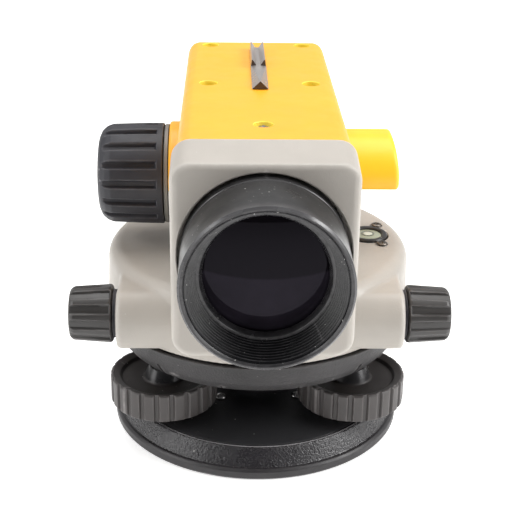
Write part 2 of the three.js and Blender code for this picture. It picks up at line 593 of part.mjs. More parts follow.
/** The cast housing: skirt, tangent boss and telescope body, hollow inside. */
function mainHousing() {
  const outside = join(skirt(), tangentBoss(), telescopeBody(), focusBoss(PLATFORM_Z, SEAM_Z - GAP / 2));
  const bubbleBoss = rodAt(BUBBLE.x, BUBBLE.y, 0,
    BUBBLE.radius + 3, BUBBLE.bottom - 3, PLATFORM_Z, SHAFT_FACETS);
  const wormTunnel = solid(crosswise(
    arc(TANGENT_Y, TANGENT_Z, WORM_RADIUS + 1.5, 0, 337.5, 15), -34, 34));
  const roomWithin = (radius, top) => solid(rod(radius, SKIRT_BOTTOM - THROUGH, top, RING_FACETS));
  const behindBoss = solid(block([-60, TANGENT_BOSS.rear - 10, 0], [60, 60, PLATFORM_Z]));
  const skirtRoom = roomWithin(SKIRT_CAVITY_RADIUS - 12, SKIRT_CAVITY_TOP)
    .add(roomWithin(SKIRT_CAVITY_RADIUS, SKIRT_BOTTOM + 1.5))
    .add(roomWithin(SKIRT_CAVITY_RADIUS, SKIRT_CAVITY_TOP - 2).intersect(behindBoss));
  const telescopeRoom = solid(block(
    [-CAVITY_HALF_WIDTH, CAVITY_FRONT, CAVITY_FLOOR], [CAVITY_HALF_WIDTH, CAVITY_REAR, COVER_TOP - 6]));
  const faceBore = rodAt(0, 0, OPTICAL_Z,
    FACE_BORE_RADIUS, BODY_FRONT - THROUGH, BODY_FRONT + FACE_BORE_DEPTH, KNOB_FACETS, 'y');
  const barrelBore = rodAt(0, 0, OPTICAL_Z,
    BARREL_RADIUS + GAP, BODY_FRONT, CAVITY_FRONT + 1, KNOB_FACETS, 'y');
  const shaftBore = rodAt(0, TANGENT_Y, TANGENT_Z, TANGENT_SHAFT_RADIUS + FIT,
    -TANGENT_BOSS_HALF_LENGTH - THROUGH, TANGENT_BOSS_HALF_LENGTH + THROUGH, SHAFT_FACETS, 'x');
  const bubbleBed = rodAt(BUBBLE.x, BUBBLE.y, 0,
    BUBBLE.radius + GAP, BUBBLE.bottom - GAP, COVER_TOP, SHAFT_FACETS);
  const bubbleScrewHoles = bubbleScrewPlaces().map(([x, y]) =>
    rodAt(x, y, 0, SCREW_SHANK + GAP, PLATFORM_Z - 6, PLATFORM_Z + THROUGH, SCREW_FACETS));
  const room = skirtRoom.subtract(bubbleBoss).add(wormTunnel);
  return geometryOf(cut(outside, room, telescopeRoom, faceBore, barrelBore, shaftBore, focusBore(),
    eyepieceBore(), bubbleBed, ...bubbleScrewHoles));
}

/** The [y, z] outline of the quarter-round mirror hood, shrunk by a wall. */
const hoodOutline = (wall, back, bottom) => [
  ...arc(HOOD_ARC.y, HOOD_ARC.z, HOOD_ARC.radius - wall, 180, 90, 7),
  [back, HOOD_ARC.z + HOOD_ARC.radius - wall], [back, bottom], [HOOD_ARC.y - HOOD_ARC.radius + wall, bottom],
];

/** The yellow cover over the telescope, with the focus boss and the mirror hood. */
function topCover() {
  const bottom = SEAM_Z + GAP / 2;
  const section = rounded([
    [-BODY_HALF_WIDTH, bottom], [BODY_HALF_WIDTH, bottom],
    [COVER_HALF_WIDTH, COVER_TOP], [-COVER_HALF_WIDTH, COVER_TOP],
  ], 4.5);
  const squareFoot = solid(lengthwise(
    rectangle(-BODY_HALF_WIDTH, bottom, BODY_HALF_WIDTH, bottom + 8), COVER_FRONT, BODY_REAR));
  const shell = join(solid(lengthwise(section, COVER_FRONT, BODY_REAR)), squareFoot);
  const besideBody = solid(block(
    [0, -BODY_HALF_WIDTH, PLATFORM_Z], [BODY_HALF_WIDTH + GAP, BODY_HALF_WIDTH, bottom]));
  const hood = solid(crosswise(hoodOutline(0, HOOD_BACK, HOOD_BOTTOM), CAVITY_HALF_WIDTH + 1, HOOD_OUT))
    .subtract(besideBody);
  const outside = join(shell, focusBoss(bottom, FOCUS_Z + FOCUS_BOSS_RADIUS + 1), hood);
  const room = solid(block(
    [-CAVITY_HALF_WIDTH, COVER_FRONT + WALL, bottom - THROUGH],
    [CAVITY_HALF_WIDTH, CAVITY_REAR, COVER_TOP - COVER_WALL]));
  const hoodRoom = solid(crosswise(
    hoodOutline(HOOD_WALL, HOOD_BACK + THROUGH, HOOD_BOTTOM - THROUGH),
    BODY_HALF_WIDTH, HOOD_OUT - HOOD_WALL));
  const lightPath = rodAt(0, 0, OPTICAL_Z,
    LENS_RADIUS - 2, COVER_FRONT - THROUGH, COVER_FRONT + WALL + THROUGH, SHAFT_FACETS, 'y');
  const posts = COVER_SCREWS.map(([, x, y]) =>
    rodAt(x, y, 0, COVER_POST_RADIUS, COVER_POST_BOTTOM, COVER_TOP - 1, SHAFT_FACETS));
  const recesses = COVER_SCREWS.map(([, x, y, seat]) =>
    rodAt(x, y, COVER_TOP, COVER_SCREW_RECESS, -seat - GAP, THROUGH, SHAFT_FACETS));
  const holes = COVER_SCREWS.map(([, x, y, seat]) =>
    rodAt(x, y, COVER_TOP, SCREW_SHANK + GAP, -seat - COVER_SCREW_LENGTH - GAP, 0, SCREW_FACETS));
  return geometryOf(cut(join(cut(outside, room, hoodRoom, lightPath), ...posts),
    ...recesses, ...holes, focusBore(), eyepieceBore()));
}

const axisSleeve = () =>
  tube(AXIS_RADIUS + 0.5, SLEEVE_RADIUS, AXIS_FLANGE_TOP + GAP, SKIRT_CAVITY_TOP - GAP, SHAFT_FACETS);

piece('main_housing', mainHousing(), GREY_PAINT);
piece('top_cover', topCover(), YELLOW_PAINT);
piece('axis_sleeve', axisSleeve(), BRASS);
COVER_SCREWS.forEach(([place, x, y, seat]) => {
  piece(`cover_screw_${place}`, headedScrew(2.8, 1.4, SCREW_SHANK, COVER_SCREW_LENGTH), STEEL)
    .position.set(x, y, COVER_TOP - seat);
});

// ---------------------------------------------------------------- peep sight

const SIGHT = { front: -0.2, middle: 31.8, rear: 61.7, halfWidth: 3, height: 2.9 };

/** The open sight on the cover: a ridge that falls to the rear, then a V trough. */
function peepSight() {
  const { front, middle, rear, halfWidth, height } = SIGHT;
  const bottom = COVER_TOP + GAP;
  const top = bottom + height;
  const ridge = solid(new ConvexGeometry([
    [-halfWidth, front, bottom], [halfWidth, front, bottom], [0, front, top],
    [-halfWidth, middle, bottom], [halfWidth, middle, bottom],
    [-halfWidth, middle, bottom + 0.5], [halfWidth, middle, bottom + 0.5], [0, middle, bottom + 1],
  ].map(([x, y, z]) => new THREE.Vector3(x, y, z))));
  const trough = solid(lengthwise([
    [-halfWidth, bottom], [halfWidth, bottom], [halfWidth - 0.4, top], [halfWidth - 0.8, top],
    [0.7, bottom + 0.7], [-0.7, bottom + 0.7], [0.8 - halfWidth, top], [0.4 - halfWidth, top],
  ], middle - GAP, rear));
  return geometryOf(join(ridge, trough));
}

piece('peep_sight', peepSight(), ALUMINIUM);

// ---------------------------------------------------------------- circular bubble

/** The cup that holds the bubble vial in the housing. */
const bubbleHolder = () => turned([
  [0, BUBBLE.bottom], [BUBBLE.radius, BUBBLE.bottom], [BUBBLE.radius, BUBBLE.top - 0.6],
  [BUBBLE.radius - 0.6, BUBBLE.top], [BUBBLE.radius - 1.6, BUBBLE.top],
  [BUBBLE.radius - 1.6, BUBBLE.bottom + 1.4], [0, BUBBLE.bottom + 1.4],
], SHAFT_FACETS);

/** The glass vial, slightly domed on top. */
const bubbleVial = () => turned([
  [0, BUBBLE.bottom + 1.7], [BUBBLE.radius - 2, BUBBLE.bottom + 1.7], [BUBBLE.radius - 2, BUBBLE.top - 0.9],
  [BUBBLE.radius - 4.4, BUBBLE.top - 0.5], [0, BUBBLE.top - 0.35],
], SHAFT_FACETS);

/** The mirror under its hood, at 45 degrees, showing the bubble to the user behind. */
function bubbleMirror() {
  const thickness = 1.6;
  const halfLength = 8.2;
  const aboveArc = 5.7;
  const plate = block(
    [BODY_HALF_WIDTH + 1, -halfLength, -thickness / 2], [HOOD_OUT - 3, halfLength, thickness / 2]);
  return plate.rotateX(turn(45)).translate(0, BUBBLE.y, HOOD_ARC.z + aboveArc);
}

piece('bubble_holder', bubbleHolder(), BLACK_PAINT).position.set(BUBBLE.x, BUBBLE.y, 0);
piece('bubble_vial', bubbleVial(), CLEAR_GLASS).position.set(BUBBLE.x, BUBBLE.y, 0);
piece('bubble_mirror', bubbleMirror(), ALUMINIUM);
bubbleScrewPlaces().forEach(([x, y], i) => {
  piece(`bubble_adjusting_screw_${i + 1}`, headedScrew(2.1, 0.7, SCREW_SHANK, 5), STEEL)
    .position.set(x, y, PLATFORM_Z + GAP);
});

// ---------------------------------------------------------------- objective

/** The objective barrel with its flared, stepped hood in front of the lens. */
function objectiveBarrel() {
  const steps = 3;
  const mouth = 25.4;
  const throat = LENS_RADIUS + 1.1;
  const funnelEnd = LENS_FRONT - 1.6;
  const funnel = [];
  for (let i = 0; i < steps; i += 1) {
    const radius = THREE.MathUtils.lerp(mouth, throat, i / steps);
    const next = THREE.MathUtils.lerp(mouth, throat, (i + 1) / steps);
    const along = THREE.MathUtils.lerp(HOOD_FRONT + 0.3, funnelEnd, (i + 1) / steps);
    funnel.push([radius, along], [next, along]);
  }
  return turned([
    ...funnel, [throat, LENS_FRONT + 8], [LENS_RADIUS - 2, LENS_FRONT + 8], [LENS_RADIUS - 2, BARREL_REAR],
    [BARREL_RADIUS, BARREL_REAR], [BARREL_RADIUS, BODY_FRONT + FACE_BORE_DEPTH - 1],
    [HOOD_RADIUS, BODY_FRONT + FACE_BORE_DEPTH - 1], [HOOD_RADIUS, HOOD_FRONT + 0.5],
    [HOOD_RADIUS - 0.5, HOOD_FRONT], [mouth, HOOD_FRONT],
  ], KNOB_FACETS, 'y');
}

/** The achromatic objective, bulging to the front. */
const objectiveLens = () => turned([
  [0, LENS_FRONT - 0.2], [9, LENS_FRONT + 0.2], [LENS_RADIUS - 2, LENS_FRONT + 1.6],
  [LENS_RADIUS, LENS_FRONT + 2.4], [LENS_RADIUS, LENS_FRONT + 7.6], [0, LENS_FRONT + 7.6],
], KNOB_FACETS, 'y');

const retainingRing = () => turned([
  [LENS_RADIUS - 1.2, LENS_FRONT + 0.9], [LENS_RADIUS + 0.7, LENS_FRONT + 1.8],
  [LENS_RADIUS + 0.7, LENS_FRONT - 1.4], [LENS_RADIUS - 0.4, LENS_FRONT - 1.4],
], KNOB_FACETS, 'y');

piece('objective_barrel', objectiveBarrel(), BLACK_PAINT).position.z = OPTICAL_Z;
piece('objective_lens', objectiveLens(), GLASS).position.z = OPTICAL_Z;
piece('lens_retaining_ring', retainingRing(), BLACK_PAINT).position.z = OPTICAL_Z;

// ---------------------------------------------------------------- focusing

const FOCUS_SHAFT_RADIUS = 3.4;
const FOCUS_CORE_RADIUS = 13;
const FOCUS_SHAFT_IN = -15.2;
const CARRIAGE = { front: -36, rear: -18 };
const RACK = { left: -20.5, right: -15, bottom: FOCUS_Z + PINION_RADIUS + 0.5, top: FOCUS_Z + 9.4 };

const focusFlange = () => tube(FOCUS_SHAFT_RADIUS + FIT, FOCUS_BOSS_RADIUS - 1,
  FOCUS_KNOB_IN + GAP, FOCUS_BOSS_OUT - GAP, KNOB_FACETS, 'x');

/** The shaft of the focus knob, with the pinion at one end and the knob's metal core at the other. */
const focusShaft = () => turned([
  [0, FOCUS_KNOB_OUT + 4], [FOCUS_CORE_RADIUS, FOCUS_KNOB_OUT + 4], [FOCUS_CORE_RADIUS, FOCUS_KNOB_IN - 1.4],
  [FOCUS_SHAFT_RADIUS, FOCUS_KNOB_IN - 1.4], [FOCUS_SHAFT_RADIUS, FOCUS_SHAFT_IN - 6],
  [PINION_RADIUS, FOCUS_SHAFT_IN - 6], [PINION_RADIUS, FOCUS_SHAFT_IN], [0, FOCUS_SHAFT_IN],
], SHAFT_FACETS, 'x');

/** The ribbed rubber grip, domed at its outer end and hollow for the metal core. */
function focusGrip() {
  const inside = -FOCUS_KNOB_IN;
  const outside = -FOCUS_KNOB_OUT;
  const collar = inside + 3.4;
  const dome = solid(turned([
    [0, inside], [FOCUS_KNOB_RADIUS, inside], [FOCUS_KNOB_RADIUS, collar],
    [FOCUS_KNOB_RADIUS - 0.8, outside - 4.4], [FOCUS_KNOB_RADIUS - 3.2, outside - 1.4],
    [FOCUS_KNOB_RADIUS - 6.4, outside], [0, outside],
  ], KNOB_FACETS));
  const outline = ribbedOutline(FOCUS_KNOB_RADIUS + 0.4, FOCUS_KNOB_RIBS, 2.6, 0.7);
  const ribs = solid(upright(outline, inside, outside));
  const rim = solid(rod(FOCUS_KNOB_RADIUS + 1, inside, collar, KNOB_FACETS));
  const coreRoom = solid(rod(FOCUS_CORE_RADIUS + GAP, 0, outside - 4 + GAP, SHAFT_FACETS));
  return geometryOf(cut(dome.intersect(join(ribs, rim)), coreRoom)).rotateY(turn(-90));
}

/** The cell of the focusing lens, with the rack that the pinion drives. */
function focusingCell() {
  const ring = tube(
    CARRIAGE_RADIUS - 2.4, CARRIAGE_RADIUS, CARRIAGE.front, CARRIAGE.rear, SHAFT_FACETS, 'y');
  const cell = solid(ring.translate(0, 0, OPTICAL_Z));
  const rack = solid(block([RACK.left, CARRIAGE.front, RACK.bottom], [RACK.right, 16, RACK.top]));
  const arm = solid(block(
    [RACK.left, CARRIAGE.front, RACK.bottom - 3], [-11.2, CARRIAGE.front + 8, RACK.bottom + 1.5]));
  return geometryOf(join(cell, rack, arm));
}

/** The focusing lens. */
const focusingLens = () => turned([
  [0, -29.4], [CARRIAGE_RADIUS - 2.7, -31], [CARRIAGE_RADIUS - 2.7, -25.4], [0, -27],
], SHAFT_FACETS, 'y');

piece('focus_flange', focusFlange(), ALUMINIUM).position.z = FOCUS_Z;
piece('focus_shaft', focusShaft(), STEEL).position.z = FOCUS_Z;
piece('focus_knob_grip', focusGrip(), BLACK_RUBBER).position.z = FOCUS_Z;
piece('focusing_lens_cell', focusingCell(), BRASS);
piece('focusing_lens', focusingLens(), CLEAR_GLASS).position.z = OPTICAL_Z;

// ---------------------------------------------------------------- compensator

const COMPENSATOR = { front: 22, rear: 52, halfWidth: 19, top: 121 };
const PIVOT = { y: 41, z: 114 };

/** The yoke that carries the compensator: a floor, two cheeks and a bridge. */
function compensatorYoke() {
  const { front, rear, halfWidth, top } = COMPENSATOR;
  const floor = CAVITY_FLOOR + GAP;
  const outside = solid(block([-halfWidth, front, floor], [halfWidth, rear, top]));
  const inside = solid(block([2.4 - halfWidth, front - 1, floor + 3], [halfWidth - 2.4, rear + 1, top - 3]));
  return geometryOf(cut(outside, inside));
}

/** The hanging carrier of the compensator prism. */
function pendulum() {
  const hanger = solid(crosswise(
    [[PIVOT.y - 2, PIVOT.z + 2], [PIVOT.y - 9, OPTICAL_Z - 10],
      [PIVOT.y + 9, OPTICAL_Z - 10], [PIVOT.y + 2, PIVOT.z + 2]], -12, 12));
  const window = solid(rod(8, 0, 2 * PIVOT.y, SHAFT_FACETS, 'y').translate(0, 0, OPTICAL_Z));
  return geometryOf(cut(hanger, window));
}

/** A right-angled prism seen from the side, run across the light path. */
const prism = (front, back, bottom, top, halfWidth) =>
  crosswise([[front, bottom], [back, bottom], [front, top]], -halfWidth, halfWidth);

piece('compensator_yoke', compensatorYoke(), ALUMINIUM);
piece('roof_prism', prism(24.4, 30.4, OPTICAL_Z - 9, OPTICAL_Z + 9, 10), CLEAR_GLASS);
piece('pendulum', pendulum(), BRASS);
piece('pendulum_prism',
  block([-6, PIVOT.y - 3.8, OPTICAL_Z - 4], [6, PIVOT.y + 3.8, OPTICAL_Z + 3]), CLEAR_GLASS);
piece('damping_magnet',
  block([-8, PIVOT.y - 6, CAVITY_FLOOR + 3 + 2 * GAP], [8, PIVOT.y + 6, OPTICAL_Z - 12.4]), STEEL);

// ---------------------------------------------------------------- eyepiece

/** The fixed eyepiece mount, screwed to the rear of the housing. */
const eyepieceMount = () => turned([
  [9.6, CAVITY_REAR - 6], [EYEPIECE_BORE - GAP, CAVITY_REAR - 6], [EYEPIECE_BORE - GAP, BODY_REAR + GAP],
  [17, BODY_REAR + GAP], [17, BODY_REAR + 3.4], [16, BODY_REAR + 4], [9.6, BODY_REAR + 4],
], SHAFT_FACETS, 'y');

/** The reticle glass in its ring. */
const reticle = () => tube(4, 9, CAVITY_REAR - 5.4, CAVITY_REAR - 2.4, SHAFT_FACETS, 'y');

/** The ribbed ring that focuses the crosshair. */
function diopterRing() {
  const start = BODY_REAR + 4 + GAP;
  const end = BODY_REAR + 15;
  const body = solid(upright(ribbedOutline(DIOPTER_RADIUS, 20, 0.8, 0.7), start, end));
  const bore = solid(rod(EYEPIECE_TUBE_RADIUS + FIT, 0, end + THROUGH, SHAFT_FACETS));
  return geometryOf(cut(body, bore)).applyMatrix4(AXIS_TURNS.y);
}

/** The eyepiece tube, sliding inside the mount and the ring. */
const eyepieceTube = () => turned([
  [6.4, CAVITY_REAR + 2], [EYEPIECE_TUBE_RADIUS, CAVITY_REAR + 2],
  [EYEPIECE_TUBE_RADIUS, BODY_REAR + 24], [6.4, BODY_REAR + 24],
], SHAFT_FACETS, 'y');

const eyepieceLens = () => turned([
  [0, BODY_REAR + 16], [6.1, BODY_REAR + 17], [6.1, BODY_REAR + 20.6], [0, BODY_REAR + 21.6],
], SHAFT_FACETS, 'y');

/** The soft eyecup on the end of the eyepiece tube. */
const eyecup = () => turned([
  [9 + GAP, BODY_REAR + 18], [11.6, BODY_REAR + 18], [12.8, EYECUP_END - 1], [12.4, EYECUP_END],
  [9.4, EYECUP_END], [8.4, BODY_REAR + 24 + GAP], [9 + GAP, BODY_REAR + 24 + GAP],
], SHAFT_FACETS, 'y');

[
  ['eyepiece_mount', eyepieceMount(), BLACK_PAINT],
  ['reticle', reticle(), CLEAR_GLASS],
  ['diopter_ring', diopterRing(), BLACK_RUBBER],
  ['eyepiece_tube', eyepieceTube(), BLACK_PAINT],
  ['eyepiece_lens', eyepieceLens(), GLASS],
  ['eyecup', eyecup(), BLACK_RUBBER],
].forEach(([name, geometry, finish]) => {
  piece(name, geometry, finish).position.z = OPTICAL_Z;
});

export default level;
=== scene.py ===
import json
import math

import bpy
import numpy as np
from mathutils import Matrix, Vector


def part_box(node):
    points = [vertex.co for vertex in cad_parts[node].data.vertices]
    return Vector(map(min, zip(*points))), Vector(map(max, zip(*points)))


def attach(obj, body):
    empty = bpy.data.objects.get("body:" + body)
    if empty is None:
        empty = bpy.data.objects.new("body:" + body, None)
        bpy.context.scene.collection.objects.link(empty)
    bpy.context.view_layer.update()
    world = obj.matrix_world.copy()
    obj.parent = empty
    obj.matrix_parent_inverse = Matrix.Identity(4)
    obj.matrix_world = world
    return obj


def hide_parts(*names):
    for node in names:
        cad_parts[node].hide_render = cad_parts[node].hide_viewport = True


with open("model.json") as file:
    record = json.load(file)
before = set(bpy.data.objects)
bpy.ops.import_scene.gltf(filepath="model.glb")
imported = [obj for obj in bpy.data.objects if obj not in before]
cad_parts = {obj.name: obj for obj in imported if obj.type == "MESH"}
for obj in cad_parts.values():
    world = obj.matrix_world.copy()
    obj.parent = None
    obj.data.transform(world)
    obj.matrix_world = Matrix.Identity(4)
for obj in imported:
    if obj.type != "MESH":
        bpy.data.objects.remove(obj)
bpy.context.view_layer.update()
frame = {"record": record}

import openvdb
from mathutils import Matrix, Vector

# Shapes are worked out in millimetres in the frame's axes and become metres when a mesh is made.
PER_METRE = 1000.0
SLOT_OF = {part["node"]: part["material_slot"] for part in frame["record"]["subparts"]}
BODY_OF = {node: body for body, nodes in frame["record"]["behaviour"]["bodies"].items() for node in nodes}


def extent(node):
    """The lowest and highest corner of a CAD node, in millimetres."""
    low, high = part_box(node)
    return np.array(low) * PER_METRE, np.array(high) * PER_METRE


def middle(node):
    low, high = extent(node)
    return (low + high) / 2


# ------------------------------------------------------------------ camera and light

CAMERA_TARGET = (0.85, 0.0, 63.4)
CAMERA_DISTANCE = 458.1
CAMERA_AZIMUTH = -1.75
CAMERA_ELEVATION = 23.6
CAMERA_ROLL = 0.91
LENS = 81.66
SENSOR = 36.0


def make_camera():
    azimuth, elevation = math.radians(CAMERA_AZIMUTH), math.radians(CAMERA_ELEVATION)
    away = Vector((math.sin(azimuth) * math.cos(elevation), -math.cos(azimuth) * math.cos(elevation),
                   math.sin(elevation)))
    camera = bpy.data.objects.new("camera", bpy.data.cameras.new("camera"))
    camera.data.lens = LENS
    camera.data.sensor_width = SENSOR
    camera.data.clip_start = 0.01
    place = Matrix.Translation((Vector(CAMERA_TARGET) + away * CAMERA_DISTANCE) / PER_METRE)
    roll = Matrix.Rotation(math.radians(CAMERA_ROLL), 4, "Z")
    camera.matrix_world = place @ away.to_track_quat("Z", "Y").to_matrix().to_4x4() @ roll
    bpy.context.scene.collection.objects.link(camera)
    bpy.context.scene.camera = camera


DARK_SIDE = (0.06, 0.06, 0.07)
BRIGHT_SIDE = (1.0, 1.0, 1.0)
WORLD_STRENGTH = 0.55
# How far towards the rear a direction points where the dark room ends and the white walls begin.
DARK_UNTIL, LIGHT_FROM = -0.75, -0.25
LIGHT_AIM = (0, 0, 0.08)
# The name, the place and size in metres, and the power in watts.
SOFTBOXES = [("top_softbox", (0, 0.15, 0.9), (0.9, 0.7), 6.0),
             ("left_softbox", (-0.85, -0.35, 0.45), (0.5, 0.8), 3.0),
             ("right_softbox", (0.85, -0.30, 0.50), (0.5, 0.8), 4.2),
             ("right_high_softbox", (0.72, -0.12, 0.66), (0.26, 0.26), 3.0),
             ("left_high_softbox", (-0.72, -0.12, 0.66), (0.26, 0.26), 1.1)]


def area_light(name, place, size, power):
    light = bpy.data.lights.new(name, "AREA")
    light.shape = "RECTANGLE"
    light.size, light.size_y = size
    light.energy = power
    lamp = bpy.data.objects.new(name, light)
    lamp.location = place
    lamp.rotation_euler = (Vector(place) - Vector(LIGHT_AIM)).to_track_quat("Z", "Y").to_euler()
    bpy.context.scene.collection.objects.link(lamp)


def make_studio():
    """White walls and ceiling, with a dark room behind the camera, and the softboxes."""
    world = bpy.data.worlds.new("studio")
    world.use_nodes = True
    tree = world.node_tree
    background = tree.nodes["Background"]
    background.inputs["Strength"].default_value = WORLD_STRENGTH
    parts = tree.nodes.new("ShaderNodeSeparateXYZ")
    tree.links.new(tree.nodes.new("ShaderNodeTexCoord").outputs["Generated"], parts.inputs["Vector"])
    ramp = tree.nodes.new("ShaderNodeMapRange")
    ramp.inputs["From Min"].default_value = DARK_UNTIL
    ramp.inputs["From Max"].default_value = LIGHT_FROM
    tree.links.new(parts.outputs["Y"], ramp.inputs["Value"])
    blend = tree.nodes.new("ShaderNodeMix")
    blend.data_type = "RGBA"
    blend.inputs["A"].default_value = (*DARK_SIDE, 1)
    blend.inputs["B"].default_value = (*BRIGHT_SIDE, 1)
    tree.links.new(ramp.outputs["Result"], blend.inputs["Factor"])
    tree.links.new(blend.outputs["Result"], background.inputs["Color"])
    bpy.context.scene.world = world
    for name, place, size, power in SOFTBOXES:
        area_light(name, place, size, power)
    bpy.context.scene.view_settings.view_transform = "Standard"


make_camera()
make_studio()

# ------------------------------------------------------------------ materials


class Shader:
    """A small helper that wires one procedural material."""

    def __init__(self, name):
        self.material = bpy.data.materials.new(name)
        self.material.use_nodes = True
        self.tree = self.material.node_tree
        self.surface = self.tree.nodes["Principled BSDF"]
        self.place = self.tree.nodes.new("ShaderNodeTexCoord").outputs["Object"]

    def node(self, kind, **values):
        made = self.tree.nodes.new(kind)
        for key, value in values.items():
            if key in made.inputs:
                made.inputs[key].default_value = value
            else:
                setattr(made, key, value)
        return made

    def link(self, source, target):
        self.tree.links.new(source, target)

    def noise(self, scale, detail=2.0, rough=0.5, stretch=None):
        texture = self.node("ShaderNodeTexNoise", Scale=scale, Detail=detail, Roughness=rough)
        if stretch:
            mapping = self.node("ShaderNodeMapping")
            mapping.inputs["Scale"].default_value = stretch
            self.link(self.place, mapping.inputs["Vector"])
            self.link(mapping.outputs["Vector"], texture.inputs["Vector"])
        else:
            self.link(self.place, texture.inputs["Vector"])
        return texture.outputs["Fac"]

    def remap(self, source, low, high, start=0.0, end=1.0):
        """source from low..high to start..end, held at the ends."""
        ranged = self.node("ShaderNodeMapRange")
        for name, value in (("From Min", low), ("From Max", high), ("To Min", start), ("To Max", end)):
            ranged.inputs[name].default_value = value
        self.link(source, ranged.inputs["Value"])
        return ranged.outputs["Result"]

    def mix(self, factor, first, second):
        mixed = self.node("ShaderNodeMix", data_type="RGBA")
        self.link(factor, mixed.inputs["Factor"])
        for socket, colour in ((mixed.inputs["A"], first), (mixed.inputs["B"], second)):
            if hasattr(colour, "default_value"):
                self.link(colour, socket)
            else:
                socket.default_value = (*colour, 1)
        return mixed.outputs["Result"]

    def bump(self, height, distance):
        bumped = self.node("ShaderNodeBump", Distance=distance / PER_METRE, Strength=1.0)
        self.link(height, bumped.inputs["Height"])
        return bumped.outputs["Normal"]


DUST = (190, 188, 184)


def linear(colour):
    """An sRGB colour, 0 to 255, as the shader's linear values."""
    return tuple(((c / 255 + 0.055) / 1.055) ** 2.4 if c > 10 else c / 255 / 12.92 for c in colour)


def finish(name, colour, roughness, metallic=0.0, grain=(0.25, 0.04), mottle=0.06, smudge=0.08,
           edge=None, dust=0.0, specular=0.5, stretch=None, glow=0.0):
    """A painted, moulded or machined surface.

    grain is the size and height in millimetres of the surface texture, mottle how far the colour varies,
    smudge how far the roughness varies, edge a colour on the sharp edges, partly worn-through paint and
    partly a painted highlight, and dust how much pale dust lies on it. stretch draws the grain out into
    brush or tool marks, and glow is the strength of its own light.
    """
    shader = Shader(name)
    surface = shader.surface
    base = linear(colour)
    cloud = shader.noise(45, 4, 0.6)
    low = tuple(c * (1 - mottle) for c in base)
    high = tuple(min(1.0, c * (1 + mottle)) for c in base)
    tint = shader.mix(shader.remap(cloud, 0.35, 0.65), low, high)
    # The edge colour on sharp edges is partly wear and partly a painted highlight.
    if edge:
        pointed = shader.node("ShaderNodeNewGeometry").outputs["Pointiness"]
        worn_and_lit_edge = shader.node("ShaderNodeMath", operation="MULTIPLY")
        shader.link(shader.remap(pointed, 0.51, 0.60), worn_and_lit_edge.inputs[0])
        shader.link(shader.remap(shader.noise(300, 3), 0.3, 0.6, 0.35, 1.0), worn_and_lit_edge.inputs[1])
        tint = shader.mix(worn_and_lit_edge.outputs["Value"], tint, linear(edge))
    if dust:
        specks = shader.remap(shader.noise(900, 1), 0.80 - 0.06 * dust, 0.84 - 0.06 * dust)
        tint = shader.mix(specks, tint, linear(DUST))
    shader.link(tint, surface.inputs["Base Color"])
    patch = shader.noise(110, 3, 0.55)
    rough = shader.remap(patch, 0.3, 0.7, roughness - smudge, roughness + smudge)
    shader.link(rough, surface.inputs["Roughness"])
    surface.inputs["Metallic"].default_value = metallic
    surface.inputs["Specular IOR Level"].default_value = specular
    surface.inputs["Emission Color"].default_value = (1, 1, 1, 1)
    surface.inputs["Emission Strength"].default_value = glow
    size, height = grain
    texture = shader.noise(PER_METRE / size, 2, 0.6, stretch)
    shader.link(shader.bump(texture, height), surface.inputs["Normal"])
    return shader.material


GLASS_IOR = 1.5
GLASS_ROUGHNESS = 0.02
SMEAR_ROUGHNESS = 0.05


def glass(name, colour, specular, tint=(1, 1, 1), transmission=0.0):
    """Polished or coated glass with the faintest smears."""
    shader = Shader(name)
    surface = shader.surface
    base = linear(colour)
    smear = shader.noise(60, 3, 0.6)
    shader.link(shader.mix(shader.remap(smear, 0.3, 0.7), tuple(c * 0.85 for c in base), base),
                surface.inputs["Base Color"])
    rough = shader.remap(smear, 0.4, 0.8, GLASS_ROUGHNESS, GLASS_ROUGHNESS + SMEAR_ROUGHNESS)
    shader.link(rough, surface.inputs["Roughness"])
    surface.inputs["IOR"].default_value = GLASS_IOR
    surface.inputs["Specular IOR Level"].default_value = specular
    surface.inputs["Specular Tint"].default_value = (*tint, 1)
    surface.inputs["Transmission Weight"].default_value = transmission
    return shader.material


# Height of the optical axis, and how far below it, how blurred and how curved the edge of the painted light
# is, which stands for the tube's lit wall seen through the objective.
OBJECTIVE_Z = 97.9
TUBE_EDGE_DROP = 1.2
TUBE_EDGE_BLUR = 0.4
TUBE_EDGE_BOW = 6.0
COATING_TINT = (0.88, 0.82, 1.0)


def objective_glass():
    """Black coated glass with painted light: below its middle a lighter violet-grey is painted in, for the
    lit wall of the tube seen through the glass.
    """
    shader = Shader("objective_glass")
    surface = shader.surface
    split = shader.node("ShaderNodeSeparateXYZ")
    shader.link(shader.place, split.inputs["Vector"])
    bowed = shader.node("ShaderNodeMath", operation="MULTIPLY")
    shader.link(split.outputs["X"], bowed.inputs[0])
    shader.link(split.outputs["X"], bowed.inputs[1])
    raised = shader.node("ShaderNodeMath", operation="MULTIPLY_ADD")
    shader.link(bowed.outputs["Value"], raised.inputs[0])
    raised.inputs[1].default_value = -TUBE_EDGE_BOW
    shader.link(split.outputs["Z"], raised.inputs[2])
    edge = (OBJECTIVE_Z - TUBE_EDGE_DROP) / PER_METRE
    blur = TUBE_EDGE_BLUR / PER_METRE
    # Painted light: below the curved edge the glass takes the violet-grey of the lit tube wall.
    lit = shader.remap(raised.outputs["Value"], edge - blur, edge + blur, 1.0, 0.0)
    clouds = shader.remap(shader.noise(90, 3), 0.3, 0.7)
    wall = shader.mix(clouds, linear((30, 27, 33)), linear((38, 34, 42)))
    shader.link(shader.mix(lit, linear((15, 13, 16)), wall), surface.inputs["Base Color"])
    surface.inputs["Roughness"].default_value = 0.03
    surface.inputs["Specular IOR Level"].default_value = 0.09
    surface.inputs["Specular Tint"].default_value = (*COATING_TINT, 1)
    return shader.material


# How the grain is stretched where metal is turned and where it is brushed.
TURNED = (1.0, 1.0, 14.0)
BRUSHED = (1.0, 12.0, 1.0)

